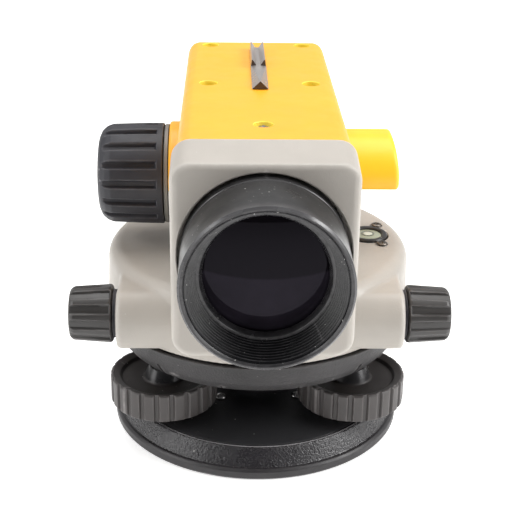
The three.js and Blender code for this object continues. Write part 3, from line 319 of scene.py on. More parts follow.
FINISHES = {
    "grey_paint": dict(colour=(176, 170, 162), roughness=0.42, grain=(0.5, 0.05), mottle=0.03,
                       edge=(206, 202, 196), dust=0.15),
    "yellow_paint": dict(colour=(249, 177, 43), roughness=0.38, grain=(0.6, 0.03), mottle=0.03,
                         smudge=0.06),
    # A lighter copy of the yellow paint: painted light on the mirror hood.
    "hood_painted_light_yellow": dict(colour=(254, 202, 46), roughness=0.38, grain=(0.6, 0.03), mottle=0.03,
                        smudge=0.06),
    # A lighter yellow for the walls of the screw recesses: painted light, standing for light bounced inside
    # them.
    "hole_painted_light_yellow": dict(colour=(255, 226, 84), roughness=0.4, grain=(0.4, 0.02), mottle=0.04),
    "black_satin": dict(colour=(50, 50, 52), roughness=0.36, grain=(0.5, 0.03), mottle=0.12, dust=0.6),
    "black_grained": dict(colour=(40, 38, 41), roughness=0.26, grain=(0.8, 0.34), mottle=0.16,
                          edge=(100, 97, 99), dust=0.4, specular=0.7),
    "black_rim": dict(colour=(46, 44, 46), roughness=0.42, grain=(0.3, 0.02), mottle=0.08,
                      edge=(105, 102, 104)),
    "ring_paint": dict(colour=(40, 38, 39), roughness=0.5, grain=(0.8, 0.26), mottle=0.22,
                       edge=(104, 101, 101), dust=0.4),
    "anodised_black": dict(colour=(31, 31, 32), roughness=0.34, grain=(0.3, 0.012), mottle=0.12, dust=1.0,
                           edge=(104, 101, 102)),
    "knob_rubber": dict(colour=(40, 40, 46), roughness=0.55, grain=(0.5, 0.06), mottle=0.12,
                        edge=(108, 106, 110)),
    "knob_plastic": dict(colour=(70, 66, 65), roughness=0.42, grain=(0.4, 0.02), mottle=0.1,
                         edge=(128, 123, 122)),
    "tangent_plastic": dict(colour=(56, 54, 53), roughness=0.36, grain=(0.4, 0.02), mottle=0.1,
                            edge=(120, 116, 115)),
    "steel": dict(colour=(176, 174, 172), roughness=0.3, metallic=1.0, grain=(0.5, 0.01), stretch=TURNED),
    "bright_screw": dict(colour=(205, 203, 202), roughness=0.25, metallic=1.0, grain=(0.3, 0.01)),
    "brass": dict(colour=(188, 160, 98), roughness=0.32, metallic=1.0, grain=(0.5, 0.01), stretch=TURNED),
    "sight_metal": dict(colour=(196, 190, 186), roughness=0.33, metallic=0.85, grain=(0.25, 0.012),
                        mottle=0.05, stretch=BRUSHED),
    # A dark colour for the sight's front-facing faces: painted shade.
    "sight_painted_shade": dict(colour=(72, 60, 54), roughness=0.5, grain=(0.3, 0.02), mottle=0.12),
    "edge_glint": dict(colour=(150, 148, 150), roughness=0.3, grain=(0.3, 0.01), mottle=0.2),
    "rim_glint": dict(colour=(62, 61, 63), roughness=0.26, grain=(0.3, 0.01), mottle=0.15),
    # A deeper black; its lighter edges are painted highlights on the funnel's ribs.
    "funnel_black": dict(colour=(19, 19, 21), roughness=0.24, grain=(0.3, 0.01), mottle=0.15, dust=0.7,
                         edge=(84, 82, 84)),
    "knob_dish": dict(colour=(54, 50, 49), roughness=0.45, grain=(0.4, 0.02), mottle=0.1, dust=0.5),
    "hub_collar": dict(colour=(66, 65, 66), roughness=0.3, metallic=0.4, grain=(0.3, 0.01), mottle=0.08),
    "dull_screw": dict(colour=(124, 117, 110), roughness=0.35, metallic=1.0, grain=(0.3, 0.01)),
    "mirror": dict(colour=(225, 226, 228), roughness=0.06, metallic=1.0, grain=(2.0, 0.0005), mottle=0.02,
                   smudge=0.03),
    "flange_grey": dict(colour=(122, 119, 113), roughness=0.45, grain=(0.4, 0.02), mottle=0.06),
    "floor": dict(colour=(244, 244, 243), roughness=0.8, grain=(3.0, 0.02), mottle=0.01, glow=0.55),
}

GLASSES = {
    "coated_glass": dict(colour=(9, 8, 10), specular=0.2, tint=COATING_TINT),
    "clear_glass": dict(colour=(214, 226, 216), transmission=0.9, specular=0.5),
    "vial": dict(colour=(206, 214, 190), specular=0.5, transmission=0.25),
    "bubble_air": dict(colour=(232, 236, 222), specular=0.6),
}

LOOKS = {name: finish(name, **values) for name, values in FINISHES.items()}
LOOKS.update({name: glass(name, **values) for name, values in GLASSES.items()})
LOOKS["objective_glass"] = objective_glass()

# ------------------------------------------------------------------ meshes


def add_mesh(name, points, faces, look):
    mesh = bpy.data.meshes.new(name)
    mesh.from_pydata((np.asarray(points) / PER_METRE).tolist(), [], [tuple(f) for f in faces])
    mesh.update()
    thing = bpy.data.objects.new(name, mesh)
    mesh.materials.append(LOOKS[look])
    bpy.context.scene.collection.objects.link(thing)
    return thing


def volume(thing):
    """Six times the signed volume of a mesh: below zero, its faces point in."""
    mesh = thing.data
    mesh.calc_loop_triangles()
    points = np.empty(len(mesh.vertices) * 3)
    mesh.vertices.foreach_get("co", points)
    corners = np.empty(len(mesh.loop_triangles) * 3, np.int32)
    mesh.loop_triangles.foreach_get("vertices", corners)
    a, b, c = points.reshape(-1, 3)[corners.reshape(-1, 3)].transpose(1, 0, 2)
    return float(np.einsum("ij,ij->", a, np.cross(b, c)))


def face_out(thing):
    if volume(thing) < 0:
        thing.data.flip_normals()
    return thing


def shade(thing, angle=35):
    """Smooth shading that keeps the sharp edges and leaves flat faces flat."""
    thing.data.shade_smooth()
    thing.data.set_sharp_from_angle(angle=math.radians(angle))
    weighted = thing.modifiers.new("flat_faces", "WEIGHTED_NORMAL")
    weighted.keep_sharp = True
    return thing


def settle(thing):
    """Applies a piece's modifiers to its mesh."""
    bpy.context.view_layer.update()
    evaluated = thing.evaluated_get(bpy.context.evaluated_depsgraph_get())
    mesh = bpy.data.meshes.new_from_object(evaluated)
    thing.modifiers.clear()
    thing.data = mesh


def boolean(thing, others, operation):
    """Joins or cuts a closed piece with others, which are used up. The piece keeps its own look."""
    look = thing.data.materials[0]
    for other in others:
        modifier = thing.modifiers.new("shape", "BOOLEAN")
        modifier.operation = operation
        modifier.solver = "MANIFOLD"
        modifier.object = other
    settle(thing)
    thing.data.materials.clear()
    thing.data.materials.append(look)
    thing.data.polygons.foreach_set("material_index", [0] * len(thing.data.polygons))
    for other in others:
        bpy.data.objects.remove(other)


def cut(thing, *tools):
    boolean(thing, tools, "DIFFERENCE")


def join(thing, *others):
    boolean(thing, others, "UNION")


def keep(thing, node):
    """The piece stands for its CAD node and moves with its body."""
    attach(thing, BODY_OF[node])
    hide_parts(node)


def trim(thing, body):
    """A small piece with no CAD node of its own."""
    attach(thing, body)


AXES = {
    "z": Matrix.Identity(3),
    "y": Matrix(((1, 0, 0), (0, 0, 1), (0, -1, 0))),
    "x": Matrix(((0, 0, 1), (0, 1, 0), (-1, 0, 0))),
    "-x": Matrix(((0, 0, -1), (0, 1, 0), (1, 0, 0))),
}


def soften(profile, radius, steps=4):
    """Rounds the corners of a [radius, along] profile, apart from its ends."""
    points = [np.array(p, float) for p in profile]
    out = [points[0]]
    for before, corner, after in zip(points, points[1:], points[2:]):
        to_before, to_after = before - corner, after - corner
        reach = min(radius, np.linalg.norm(to_before) / 2.05, np.linalg.norm(to_after) / 2.05)
        start = corner + to_before / np.linalg.norm(to_before) * reach
        end = corner + to_after / np.linalg.norm(to_after) * reach
        for t in np.linspace(0, 1, steps + 1):
            out.append((1 - t) ** 2 * start + 2 * t * (1 - t) * corner + t ** 2 * end)
    out.append(points[-1])
    return np.array(out)


def refine(profile, step):
    """Splits the long stretches of a profile."""
    out = [profile[0]]
    for start, end in zip(profile, profile[1:]):
        count = max(1, math.ceil(np.linalg.norm(end - start) / step))
        out.extend(start + (end - start) * t for t in np.linspace(0, 1, count + 1)[1:])
    return np.array(out)


def ring_profile(profile, step, radius=0.0, steps=3):
    """Closes a profile on itself, rounds its corners by the radius and splits its long stretches."""
    loop = profile + profile[:1]
    rounded = soften(loop, radius, steps) if radius else np.array(loop)
    return refine(rounded, step)[:-1]


def lathe(name, profile, look, centre=(0, 0, 0), axis="z", turns=144, shape=None):
    """A turned piece. The profile runs from axis to axis, or closes on itself as a ring.

    shape(radius, along, angle) may change the radius, as ribs and threads do.
    """
    profile = np.array(profile, float)
    closed = profile[0][0] > 0
    if closed and np.allclose(profile[0], profile[-1]):
        profile = profile[:-1]
    angles = np.linspace(0, 2 * math.pi, turns, endpoint=False)
    radius = np.repeat(profile[:, :1], turns, axis=1)
    along = np.repeat(profile[:, 1:], turns, axis=1)
    if shape:
        radius = shape(radius, along, angles[None, :])
    points = np.stack([radius * np.cos(angles), radius * np.sin(angles), along], axis=-1)
    rows = len(profile)
    faces = []
    last = rows if closed else rows - 1
    for row in range(last):
        for i in range(turns):
            j = (i + 1) % turns
            below, above = row * turns, (row + 1) % rows * turns
            on_axis = profile[row][0] == 0, profile[(row + 1) % rows][0] == 0
            if all(on_axis):
                continue
            if on_axis[0]:
                faces.append((below, above + j, above + i))
            elif on_axis[1]:
                faces.append((below + i, below + j, above))
            else:
                faces.append((below + i, below + j, above + j, above + i))
    flat = points.reshape(-1, 3) @ np.array(AXES[axis]).T + np.array(centre)
    thing = add_mesh(name, flat, faces, look)
    drop_loose(thing)
    return face_out(thing)


def drop_loose(thing):
    """Removes points that no face uses, such as the spare copies on an axis."""
    mesh = thing.data
    used = np.zeros(len(mesh.vertices), bool)
    corners = np.empty(len(mesh.loops), np.int32)
    mesh.loops.foreach_get("vertex_index", corners)
    used[corners] = True
    if used.all():
        return
    number = np.cumsum(used) - 1
    points = np.empty(len(mesh.vertices) * 3)
    mesh.vertices.foreach_get("co", points)
    faces = [tuple(int(number[v]) for v in face.vertices) for face in mesh.polygons]
    fresh = bpy.data.meshes.new(mesh.name)
    fresh.from_pydata(points.reshape(-1, 3)[used].tolist(), [], faces)
    for material in mesh.materials:
        fresh.materials.append(material)
    thing.data = fresh


def rod(radius, start, end, centre=(0, 0, 0), axis="z", turns=64):
    """A plain cutting or joining cylinder."""
    return lathe("tool", [(0, start), (radius, start), (radius, end), (0, end)], "steel", centre, axis, turns)


def box(low, high):
    """A plain cutting or joining box."""
    (x0, y0, z0), (x1, y1, z1) = low, high
    points = [(x, y, z) for x in (x0, x1) for y in (y0, y1) for z in (z0, z1)]
    faces = [(0, 1, 3, 2), (4, 6, 7, 5), (0, 4, 5, 1), (2, 3, 7, 6), (0, 2, 6, 4), (1, 5, 7, 3)]
    return face_out(add_mesh("tool", points, faces, "steel"))


def prism(name, outline, start, end, look, along="y"):
    """An outline of two of the axes, run along the third. Along y it is [x, z], along x it is [y, z]."""
    count = len(outline)
    points = []
    for end_place in (start, end):
        for u, v in outline:
            points.append((u, end_place, v) if along == "y" else (end_place, u, v))
    faces = [tuple(range(count - 1, -1, -1)), tuple(range(count, 2 * count))]
    faces += [(i, (i + 1) % count, (i + 1) % count + count, i + count) for i in range(count)]
    return face_out(add_mesh(name, points, faces, look))


def bevel(thing, width):
    modifier = thing.modifiers.new("edges", "BEVEL")
    modifier.width = width / PER_METRE
    modifier.segments = 2
    modifier.limit_method = "ANGLE"
    modifier.angle_limit = math.radians(30)
    return thing


# ------------------------------------------------------------------ solids from distance fields

VOXEL = 0.8
# The empty space round a block and the depth to which distances are kept, in voxels.
MARGIN, BAND = 3, 4


class Field:
    """A block of space sampled on a grid, where shapes are signed distances in millimetres."""

    def __init__(self, low, high):
        self.low = np.array(low, float) - MARGIN * VOXEL
        counts = np.ceil((np.array(high) + MARGIN * VOXEL - self.low) / VOXEL).astype(int)
        ticks = [self.low[i] + VOXEL * np.arange(counts[i]) for i in range(3)]
        self.x, self.y, self.z = np.meshgrid(*ticks, indexing="ij", sparse=True)

    def mesh(self, name, distance, look):
        grid = openvdb.FloatGrid()
        limit = BAND * VOXEL
        grid.copyFromArray(np.clip(distance, -limit, limit).astype(np.float32))
        points, quads = grid.convertToQuads(0.0)
        thing = add_mesh(name, points * VOXEL + self.low, quads, look)
        return face_out(thing)


def round_and(a, b, radius):
    """Both shapes, with their meeting edge rounded."""
    corner = np.hypot(np.maximum(radius + a, 0), np.maximum(radius + b, 0))
    return np.minimum(-radius, np.maximum(a, b)) + corner


def round_or(a, b, radius):
    """Either shape, with a fillet where they meet."""
    corner = np.hypot(np.maximum(radius - a, 0), np.maximum(radius - b, 0))
    return np.maximum(radius, np.minimum(a, b)) - corner


def slope(u, v, start, end):
    """Distance from the line through two points, above zero on its left."""
    (u0, v0), (u1, v1) = start, end
    length = math.hypot(u1 - u0, v1 - v0)
    return ((u - u0) * (v0 - v1) + (v - v0) * (u1 - u0)) / length


# ------------------------------------------------------------------ ribs, threads and screws


def smooth_step(value, low, high):
    t = np.clip((value - low) / (high - low), 0, 1)
    return t * t * (3 - 2 * t)


def fluted(outer, count, width, depth, ends=(-1e6, 1e6), soft=0.35, turn=0.0):
    """Grooves along a grip: outer(along) is its radius, and ends is where the grooves' square ends lie."""
    def shape(radius, along, angle):
        pitch = 2 * math.pi / count
        side = (np.mod(angle - turn + pitch / 2, pitch) - pitch / 2) * outer(along)
        past = np.maximum(np.maximum(ends[0] - along, along - ends[1]), 0)
        away = np.maximum(np.abs(side), past)
        groove = 1 - smooth_step(away, width / 2 - soft, width / 2 + soft)
        return np.minimum(radius, outer(along) - depth * groove)
    return shape


def threaded(crest, pitch, depth, start, end, inside=False):
    """A screw thread between two places on a cylinder whose radius is crest, or inside a bore."""
    def shape(radius, along, angle):
        phase = np.mod(along / pitch - angle / (2 * math.pi), 1)
        height = 1 - np.abs(2 * phase - 1)
        fade = smooth_step(along, start, start + pitch) * (1 - smooth_step(along, end - pitch, end))
        on_thread = np.abs(radius - crest) < 0.01
        change = depth * fade * (height if inside else 1 - height)
        return np.where(on_thread, radius - change, radius)
    return shape


def screw(name, node, head, height, look, slot_depth=0.55):
    """A screw with a domed head and a tapered cross recess, in place of a CAD screw."""
    low, high = extent(node)
    centre = middle(node)
    base = high[2] - height
    profile = [(0, low[2]), (1.15, low[2]), (1.15, base), (head - 0.1, base), (head, base + height * 0.35)]
    crown = ((0.93, 0.45), (0.78, 0.78), (0.5, 0.95))
    profile += [(head * across, base + height * (0.35 + 0.65 * up)) for across, up in crown]
    profile += [(0, base + height)]
    body = lathe(name, profile, look, (centre[0], centre[1], 0), turns=40)
    deep, long, wide = height * slot_depth, head * 0.62, head * 0.15
    corners = ((-1, -1), (1, -1), (1, 1), (-1, 1))
    for sx, sy in ((long, wide), (wide, long)):
        top = [(x * sx * 1.05, y * sy * 1.3) for x, y in corners]
        bottom = [(x * sx * 0.55, y * sy * 0.8) for x, y in corners]
        points = [(centre[0] + x, centre[1] + y, high[2] - deep) for x, y in bottom]
        points += [(centre[0] + x, centre[1] + y, high[2] + 0.2) for x, y in top]
        faces = [(0, 3, 2, 1), (4, 5, 6, 7)] + [(i, (i + 1) % 4, (i + 1) % 4 + 4, i + 4) for i in range(4)]
        cut(body, face_out(add_mesh("tool", points, faces, look)))
    keep(shade(body, 30), node)


def paint(thing, look, test):
    """Gives the faces whose middles pass the test, in millimetres, a second finish."""
    thing.data.materials.append(LOOKS[look])
    index = len(thing.data.materials) - 1
    for face in thing.data.polygons:
        if test(*(c * PER_METRE for c in face.center)):
            face.material_index = index


# ------------------------------------------------------------------ base

GAP = 0.3
FOOT_HOLE = 5.2
# The 5/8 inch tripod thread has eleven turns to the inch.
TRIPOD_BORE = 7.94
TRIPOD_PITCH = 25.4 / 11
UNDERSIDE_GROOVES = ((22, 24.4), (46, 49.4))
BASE_R = extent("base_plate")[1][0]
PLATE_R = extent("spring_plate")[1][0]
PLATE_TOP = extent("spring_plate")[1][2]
INSERT_TOP = extent("tripod_thread_insert")[1][2]
INSERT_R = extent("tripod_thread_insert")[1][0]
FEET = ("left", "right", "rear")


def make_base():
    rim, edge, floor = 4.2, 10.6, 8.8
    hub = PLATE_TOP + 1
    bore = INSERT_R + GAP
    outer = [(0, INSERT_TOP + GAP), (bore, INSERT_TOP + GAP), (bore, 0.5), (bore + 0.5, 0)]
    for start, end in UNDERSIDE_GROOVES:
        outer += [(start, 0), (start + 0.4, 0.6), (end - 0.4, 0.6), (end, 0)]
    outer += [(BASE_R - 0.8, 0), (BASE_R, 0.8), (BASE_R, rim - 0.9), (BASE_R - 0.9, rim),
              (BASE_R - 1.9, rim + 0.15), (PLATE_R + 1.9, edge - 0.35), (PLATE_R + 1.3, edge),
              (PLATE_R + 0.7, edge), (PLATE_R + 0.35, edge - 0.5), (PLATE_R + 0.2, floor), (13.5, floor),
              (13.5, hub - 0.5), (13, hub), (0, hub)]
    base = lathe("base_casting", refine(soften(outer, 0.35, 3), 4), "black_grained", turns=180)
    for side in FEET:
        x, y, _ = middle(side + "_ball_foot")
        cut(base, rod(FOOT_HOLE, 5.1, 20, (x, y, 0)))
    paint(base, "black_rim", lambda x, y, z: z < rim + 0.1)

    def on_edge(x, y, z):
        return PLATE_R + 0.3 < math.hypot(x, y) < PLATE_R + 1.3 and z > edge - 0.3

    paint(base, "edge_glint", on_edge)
    keep(shade(base, 40), "base_plate")

    insert = [(TRIPOD_BORE, 0.9), (8.9, 0.3), (INSERT_R, 0.3), (INSERT_R, INSERT_TOP),
              (TRIPOD_BORE, INSERT_TOP)]
    thread = threaded(TRIPOD_BORE, TRIPOD_PITCH, 1.15, 1.0, INSERT_TOP, inside=True)
    brass = lathe("tripod_insert", ring_profile(insert, 0.3), "brass", turns=72, shape=thread)
    keep(shade(brass, 60), "tripod_thread_insert")

    inner = 13.8
    profile = [(inner, 9.1), (PLATE_R, 9.1), (PLATE_R, 10.4), (PLATE_R - 0.5, 10.8)]
    profile += [(r, 10.8 + (1 - r / PLATE_R) * 2.8 + 8.0 * (inner / r) ** 9) for r in np.linspace(47, 15, 24)]
    profile += [(inner + 0.4, PLATE_TOP - 0.1), (inner, PLATE_TOP)]
    plate = lathe("spring_plate_skin", profile, "black_satin", turns=180)
    for side in FEET:
        x, y, _ = middle(side + "_ball_foot")
        cut(plate, rod(FOOT_HOLE, 5, 20, (x, y, 0)))
    keep(shade(plate, 40), "spring_plate")
    for i in (1, 2, 3):
        screw(f"plate_screw_{i}", f"spring_plate_screw_{i}", 2.0, 1.2, "bright_screw")


# ------------------------------------------------------------------ foot screws


def make_foot(side):
    x, y, _ = middle(side + "_foot_spindle")
    place = (x, y, 0)
    low, high = extent(side + "_ball_foot")
    radius, heart = (high[0] - low[0]) / 2, low[2] + (high[0] - low[0]) / 2
    arc = [(radius * math.cos(a), heart + radius * math.sin(a)) for a in np.radians(np.linspace(-85, 55, 22))]
    ball = [(0, low[2])] + arc + [(0, arc[-1][1])]
    keep(shade(lathe(side + "_ball", ball, "steel", place, turns=48)), side + "_ball_foot")

    low, high = extent(side + "_foot_spindle")
    crest = 4.0
    spindle = [(0, low[2]), (2.6, low[2]), (2.9, low[2] + 1.2), (crest, low[2] + 2.4), (crest, high[2] - 0.7),
               (crest - 0.7, high[2]), (0, high[2])]
    thread = threaded(crest, 1.0, 0.5, low[2] + 3, high[2] - 1)
    spindle = refine(np.array(spindle), 0.25)
    keep(shade(lathe(side + "_spindle", spindle, "steel", place, turns=48, shape=thread), 60),
         side + "_foot_spindle")

    low, high = extent(side + "_foot_knob")
    radius, bottom, hub_top = (high[0] - low[0]) / 2, low[2], high[2]
    top = hub_top - 2.6
    profile = [(4.3, bottom + 1.2), (9, bottom + 1.2), (radius - 4, bottom + 1.2), (radius - 3.2, bottom),
               (radius - 0.6, bottom), (radius, bottom + 0.6), (radius, top - 0.7),
               (radius - 0.5, top - 0.1), (radius - 1.1, top), (radius - 3.6, top - 1.1),
               (radius - 4.4, top - 2.3), (8.2, top - 2.6), (7.6, top - 2.2), (7.0, top - 0.6),
               (5.6, hub_top - 0.25), (5.0, hub_top), (4.3, hub_top - 0.2)]
    profile = ring_profile(profile, 1.5, 0.3)
    grooves = fluted(lambda along: radius, 22, 1.75, 0.9, soft=0.28, turn=0.05)
    knob = lathe(side + "_knob", profile, "knob_plastic", place, turns=22 * 18, shape=grooves)
    paint(knob, "knob_dish", lambda px, py, pz: math.hypot(px - x, py - y) < radius - 3.6 and pz > bottom + 3)
    paint(knob, "hub_collar", lambda px, py, pz: math.hypot(px - x, py - y) < 7.3 and pz > top - 2.2)
    keep(shade(knob, 42), side + "_foot_knob")

    low, high = extent(side + "_foot_bushing")
    ring = [(4.5, low[2]), (5.6, low[2]), (6.0, low[2] + 0.4), (6.0, high[2]), (4.5, high[2])]
    keep(shade(lathe(side + "_bushing", ring, "brass", place, turns=48)), side + "_foot_bushing")


# ------------------------------------------------------------------ levelling head and circle

# Angle, half width and height of the notches in the lower edge of the circle.
NOTCHES = [(angle, 0.8, 4.6) for angle in (49, 131, 229, 311)]
NOTCHES += [(angle, 0.25, 1.8) for angle in (10, 75, 105, 170, 200, 255, 285, 340)]


def make_head():
    low, high = extent("leveling_head")
    top, radius = high[2], 48.2
    profile = [(0, low[2]), (13.2, low[2]), (14.4, low[2] + 0.6), (17.4, low[2] + 3.4),
               (18.4, low[2] + 5), (20, 36.2), (21, 36.5), (radius - 0.5, 36.5), (radius, 37),
               (radius, top - 0.5), (radius - 0.5, top), (0, top)]
    head = lathe("tribrach_head", refine(soften(profile, 0.5, 3), 5), "black_satin", turns=144)
    for side in FEET:
        x, y, _ = middle(side + "_foot_bushing")
        boss = [(0, 34), (8.6, 34), (9.0, 34.4), (9.0, top - 1), (0, top - 1)]
        join(head, lathe("boss", boss, "black_satin", (x * 0.94, y * 0.94, 0), turns=64))
        cut(head, rod(6.3, 20, 60, (x, y, 0)))
    keep(shade(head), "leveling_head")

    low, high = extent("horizontal_circle")
    bottom, top, outer, inner = low[2], high[2], (high[0] - low[0]) / 2, 49.0
    profile = [(inner, bottom), (52.0, bottom), (52.8, bottom + 0.3), (54.2, bottom + 2.0),
               (55.6, bottom + 4.0), (57.0, bottom + 7.2), (58.2, top - 1.0), (outer - 0.1, top - 0.35),
               (outer - 0.5, top), (inner, top)]
    ring = lathe("circle_ring", ring_profile(profile, 1.5, 0.5), "ring_paint", turns=240)
    for angle, half, tall in NOTCHES:
        slot = rod(half, 50, 60, (0, 0, bottom + tall), axis="x", turns=20)
        join(slot, box((50, -half, bottom - 1), (60, half, bottom + tall)))
        slot.data.transform(Matrix.Rotation(math.radians(angle), 4, "Z"))
        cut(ring, slot)
    keep(shade(ring), "horizontal_circle")


# ------------------------------------------------------------------ housing and cover

AXIS_Z = middle("objective_lens")[2]
COVER_LOW, COVER_HIGH = extent("top_cover")
BODY_LOW, BODY_HIGH = extent("main_housing")
SEAM_Z = 98.6
PLATFORM_Z = 72.7
BODY_HALF = 30.1
COVER_HALF = 28.2
FACE_Y = BODY_LOW[1]
REAR_Y = BODY_HIGH[1]
COVER_FRONT = COVER_LOW[1]
TANGENT_Y, TANGENT_Z = middle("tangent_shaft")[1], middle("tangent_shaft")[2]
FOCUS_Z = middle("focus_shaft")[2]
BUBBLE_X, BUBBLE_Y = middle("bubble_holder")[0], middle("bubble_holder")[1]
BUBBLE_R = extent("bubble_holder")[1][0] - BUBBLE_X
# The telescope's underside as [y, z], from the front to the rear.
BELLY = [(FACE_Y + 3, 61.6), (-50, 57.6), (50, 65.6), (REAR_Y, 75.7)]
SKIRT_RADIUS, SKIRT_BOTTOM = 58, 48
BOSS_Y, BOSS_Z, BOSS_RADIUS = -38.6, 58.2, 12.7
BOSS_BOTTOM, BOSS_TOP, BOSS_HALF_LENGTH = 49.8, 70, 51


def telescope_block(f):
    """The grey box round the telescope, with its long underside."""
    sides = np.abs(f.x) - BODY_HALF
    front = FACE_Y - f.y
    top = slope(f.y, f.z, (FACE_Y, 128.7), (COVER_FRONT, 131.5))
    under = np.maximum.reduce([slope(f.y, f.z, rear, fore) for fore, rear in zip(BELLY, BELLY[1:])])
    section = round_and(round_and(sides, top, 6.5), under, 7.0)
    fronted = np.maximum(round_and(section, front, 1.2), round_and(sides, front, 2.6))
    return round_and(fronted, f.y - REAR_Y, 3.5)


def skirt_disc(f):
    """The round, slightly conical lower housing."""
    wall = np.hypot(f.x, f.y) - SKIRT_RADIUS + (f.z - SKIRT_BOTTOM) * 0.04
    return round_and(round_and(wall, f.z - PLATFORM_Z, 5.0), SKIRT_BOTTOM - f.z, 0.9)


def cross_boss(f):
    """The flat-topped boss of the tangent screw: round in front, running back into the skirt."""
    round_part = np.hypot(f.y - BOSS_Y, f.z - BOSS_Z) - BOSS_RADIUS
    block = np.maximum(np.abs(f.z - 59.9) - 10.1, np.abs(f.y + 26.3) - 12.3)
    section = round_and(np.minimum(round_part, block), f.z - BOSS_TOP, 0.9)
    section = round_and(section, BOSS_BOTTOM - f.z, 0.8)
    return round_and(section, np.abs(f.x) - BOSS_HALF_LENGTH, 1.7)


def focus_boss(f):
    round_part = np.hypot(f.y, f.z - FOCUS_Z) - 19.4
    return round_and(round_part, np.maximum(-33.3 - f.x, f.x + 24), 0.7)


def make_housing():
    field = Field((-SKIRT_RADIUS, FACE_Y, SKIRT_BOTTOM), (SKIRT_RADIUS, REAR_Y, 132))
    shell = round_or(skirt_disc(field), cross_boss(field), 0.4)
    shell = round_or(shell, telescope_block(field), 1.1)
    shell = round_or(shell, focus_boss(field), 0.8)
    housing = field.mesh("housing_casting", shell, "grey_paint")
    cut(housing, box((-60, COVER_FRONT - GAP, SEAM_Z - GAP / 2), (60, 90, 142)))
    cut(housing, box((-25, -60, 78), (25, 71, 125.3)))
    cut(housing, rod(50, 42, 66, turns=144), rod(13, 62, 68.6))
    face_bore = [(0, FACE_Y - 10), (28.6, FACE_Y - 10), (28.6, FACE_Y - 0.1), (28, FACE_Y + 0.5),
                 (28, FACE_Y + 6), (24.3, FACE_Y + 6), (24.3, -59), (0, -59)]
    cut(housing, lathe("tool", face_bore, "steel", (0, 0, AXIS_Z), "y", turns=144))
    bore = [(0, 30), (3.6, 30), (3.6, 50), (10.3, 50), (10.3, 60), (0, 60)]
    for direction in ("-x", "x"):
        cut(housing, lathe("tool", bore, "steel", (0, TANGENT_Y, TANGENT_Z), direction, turns=96))
    cut(housing, rod(4.2, -45, -20, (0, 0, FOCUS_Z), "x"))
    cut(housing, rod(12.5, 65, 90, (0, 0, AXIS_Z), "y"))
    well = BUBBLE_R + GAP
    bed = [(0, 66.3), (well, 66.3), (well, PLATFORM_Z - 0.4), (well + 0.4, PLATFORM_Z), (well + 0.4, 80),
           (0, 80)]
    cut(housing, lathe("tool", bed, "steel", (BUBBLE_X, BUBBLE_Y, 0), turns=96))
    for i in (1, 2):
        x, y, _ = middle(f"bubble_adjusting_screw_{i}")
        seat = rod(2.4, PLATFORM_Z - 0.35, 80, (x, y, 0), turns=40)
        cut(housing, seat, rod(1.4, 66, 80, (x, y, 0), turns=24))
    keep(shade(housing, 38), "main_housing")


COVER_SCREWS = ("front", "left_middle", "right_middle", "left_rear", "right_rear")
SCREW_HEAD = 1.4
HOOD_Y, HOOD_Z, HOOD_RADIUS = 8.6, 97.0, 15.4
HOOD_BACK, HOOD_BOTTOM, HOOD_WALL = 15.0, 95.0, 2.2


def mirror_hood(f):
    """The quarter-round hood over the bubble's mirror."""
    rise = np.maximum(f.z - HOOD_Z, 0)
    arc = np.hypot(np.minimum(f.y - HOOD_Y, 0), rise) - HOOD_RADIUS
    section = round_and(round_and(arc, HOOD_BOTTOM - f.z, 0.5), f.y - HOOD_BACK, 0.6)
    outer = f.x - COVER_HIGH[0] + rise ** 2 * 0.008
    return round_and(section, np.maximum(outer, 20 - f.x), 1.5)


def hood_room():
    """The hollow under the mirror hood, open below and behind."""
    radius = HOOD_RADIUS - HOOD_WALL
    angles = np.radians(np.linspace(180, 90, 24))
    arc = [(HOOD_Y + radius * math.cos(a), HOOD_Z + radius * math.sin(a)) for a in angles]
    outline = arc + [(30, HOOD_Z + radius), (30, HOOD_BOTTOM - 4), (HOOD_Y - radius, HOOD_BOTTOM - 4)]
    return prism("tool", outline, BODY_HALF + 0.2, COVER_HIGH[0] - HOOD_WALL, "steel", along="x")


